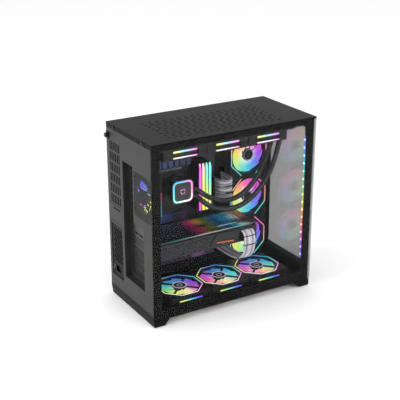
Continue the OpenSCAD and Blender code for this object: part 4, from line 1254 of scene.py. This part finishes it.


# The port cover, its ribs and the board's heatsinks get a painted blue light: a weak glow that stands
# in for the rear fan's light falling on them.
cover_low, cover_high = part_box("port_cover")
cover_painted_light = painted_glow_finish("cover blue glow", anodised, "Z", cover_low.z, cover_high.z,
                    [(0, "#05060a"), (0.4, "#101422"), (0.75, "#26305c"), (1, "#52659c")], 0.3, 55)
dress(cover_painted_light, "port_cover", "board_heatsinks")
plates_low, plates_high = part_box("board_plates")
# The board plates' teal, blue and violet run is a painted reflection of the fans' light, given as a
# weak glow.
dress(painted_glow_finish("plate violet glow", anodised, "X", plates_low.x, plates_high.x,
             [(0, "#1f5a6a"), (0.3, "#2a3f8a"), (0.55, "#6a3a9a"), (0.8, "#8a3f8a"),
              (1, "#302a50")], 0.8, 18), "board_plates")
# The back plate's iridescent print is its own colour, and giving that print as a weak glow is painted
# light.
dress(painted_glow_finish("iridescent back plate", back_gloss, "X", plate_low.x, plate_high.x,
             [(0, "#0a0c10"), (0.25, "#0e1a1c"), (0.4, "#2a1228"), (0.48, "#b82868"),
              (0.55, "#c89030"), (0.61, "#648a30"), (0.7, "#184a90"), (0.82, "#30a0c0"),
              (0.88, "#c8e8e0"), (0.94, "#80682c"), (1, "#4a3c1c")],
             0.6, 16), "card_backplate")
bm = bmesh.new()
add_block(bm, (cover_low.x + 5 * MM, cover_low.y - 1.0 * MM, cover_low.z + 14 * MM),
          (cover_low.x + 17 * MM, cover_low.y + 0.5 * MM, cover_low.z + 17 * MM), 0, 0.5 * MM)
rib = mesh_from(bm, "rib")
piece("cover_ribs", grow(ROW, rib, cover_painted_light, Count=16, Step=(0, 0, 7.6 * MM)), "chassis",
      "heatsink")

# %% [markdown]
# ## Screws
# One countersunk screw with a cross recess is stamped on places that the real tower screws
# together: the corners of the fans and the slot covers.

# %% Screw stamp and its places
def screw_mesh(radius, height):
    bm = bmesh.new()
    add_lathe(bm, [(0, 0), (radius, 0), (radius, height * 0.5), (radius * 0.75, height),
                   (0, height)], (0, 0, 0), (0, 0, 1), 0, 18)
    for turn in (0, math.pi / 2):
        along = Matrix.Rotation(turn, 4, "Z")
        add_prism(bm, rounded_rectangle(radius * 1.1, radius * 0.26, radius * 0.1, 2),
                  height * 0.12, Matrix.Translation((0, 0, height)) @ along, 0)
    return smooth_by_angle(mesh_from(bm, "screw"))


def corners_of(place, reach, level, outward):
    """The four screw places of a fan, with their turn as Euler angles."""
    turn = (place.to_quaternion().to_matrix().to_4x4()
            @ Matrix.Rotation(0 if outward > 0 else math.pi, 4, "X")).to_euler()
    return [(place @ Vector((x * reach, y * reach, level)), tuple(turn), (1, 1, 1))
            for x in (-1, 1) for y in (-1, 1)]


spots = []
for i in range(3):
    spots += corners_of(fan_places[f"side_rotor_{i + 1}"], 52.5 * MM, 25 * MM, 1)
    spots += corners_of(fan_places[f"floor_rotor_{i + 1}"], 52.5 * MM, 0, -1)
    spots += corners_of(fan_places[f"roof_rotor_{i + 1}"], 52.5 * MM, 25 * MM, 1)
piece("fan_screws", stamped_mesh(screw_mesh(3.6 * MM, 1.4 * MM), spots, screw_metal), "chassis",
      "screw_steel")
panel_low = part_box("rear_panel")[0]
TOWARD_REAR = (0, -math.pi / 2, 0)
rear_fan_low, rear_fan_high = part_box("rear_fan_frame")
rear_mid = (rear_fan_low + rear_fan_high) / 2
spots = [((panel_low.x + 2.2 * MM, rear_mid.y + u * 41.2 * MM, rear_mid.z + v * 41.2 * MM),
          TOWARD_REAR, (1, 1, 1)) for u in (-1, 1) for v in (-1, 1)]
cover_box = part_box("slot_covers")
slot_x = cover_box[0].x
spots += [((slot_x, cover_box[1].y - 3.4 * MM, cover_box[0].z + (9 + 20.32 * k) * MM),
           TOWARD_REAR, (0.8, 0.8, 0.8)) for k in range(7)]
piece("rear_screws", stamped_mesh(screw_mesh(3.6 * MM, 1.6 * MM), spots, screw_metal),
      "chassis", "screw_steel")

# %% [markdown]
# ## Small lights and inserts
# The rear fan has an upright light line towards the glass. The sockets in the rear get coloured
# inserts, as plugs are matched by colour, and the power button gets a pale ring.

# %% Rear fan line, socket inserts and button ring
bm = bmesh.new()
add_prism(bm, rounded_rectangle(2.4 * MM, 62 * MM, 1.1 * MM, 3), 1.0 * MM,
          Matrix.Translation((rear_fan_high.x + 1.5 * MM, rear_fan_low.y + 4 * MM, 322 * MM))
          @ UPRIGHT)
piece("rear_fan_line", mesh_from(bm, "line"), "chassis", "light_line",
      materials=[lit_along("rear fan line", "Z", 291 * MM, 353 * MM,
                           [(0, "#40c8c0"), (0.5, "#58a0a8"), (0.7, "#e06088"),
                            (1, "#f058a0")], 1.0)])
ports_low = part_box("rear_ports")[0]
INSERTS = ["#101012", "#2a50c8", "#1fa08a", "#2a50c8", "#c83a30", "#1fa08a", "#e07828", "#40a848"]
insert_finishes = [finish(f"socket insert {k + 1}", code, 0.4, grain=500, specular=0.6)
                   for k, code in enumerate(INSERTS)]
bm = bmesh.new()
for k in range(8):
    for j in range(2):
        y = ports_low.y + (8.6 + 17 * j) * MM
        z = ports_low.z + (8.2 + 18.8 * k) * MM
        add_block(bm, (ports_low.x + 1.2 * MM, y - 0.5 * MM, z),
                  (ports_low.x + 11 * MM, y + 8 * MM, z + 8 * MM), (k + j) % 8, 0.6 * MM)
piece("socket_inserts", mesh_from(bm, "inserts"), "chassis", "port_metal",
      materials=insert_finishes)
button_low, button_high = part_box("power_button")
button_mid = (button_low + button_high) / 2
bm = bmesh.new()
add_lathe(bm, [(4.6 * MM, 0), (5.6 * MM, 0), (5.6 * MM, 0.3 * MM), (4.6 * MM, 0.3 * MM),
               (4.6 * MM, 0)], (button_high.x, button_mid.y, button_mid.z), (1, 0, 0), 0, 40)
bmesh.ops.remove_doubles(bm, verts=bm.verts, dist=1e-6)
piece("button_ring", mesh_from(bm, "ring"), "power_button", "light_line",
      materials=[lit_along("button ring light", "Z", button_low.z, button_high.z,
                           [(0, "#c8e8ff"), (1, "#ffffff")], 1.0)])
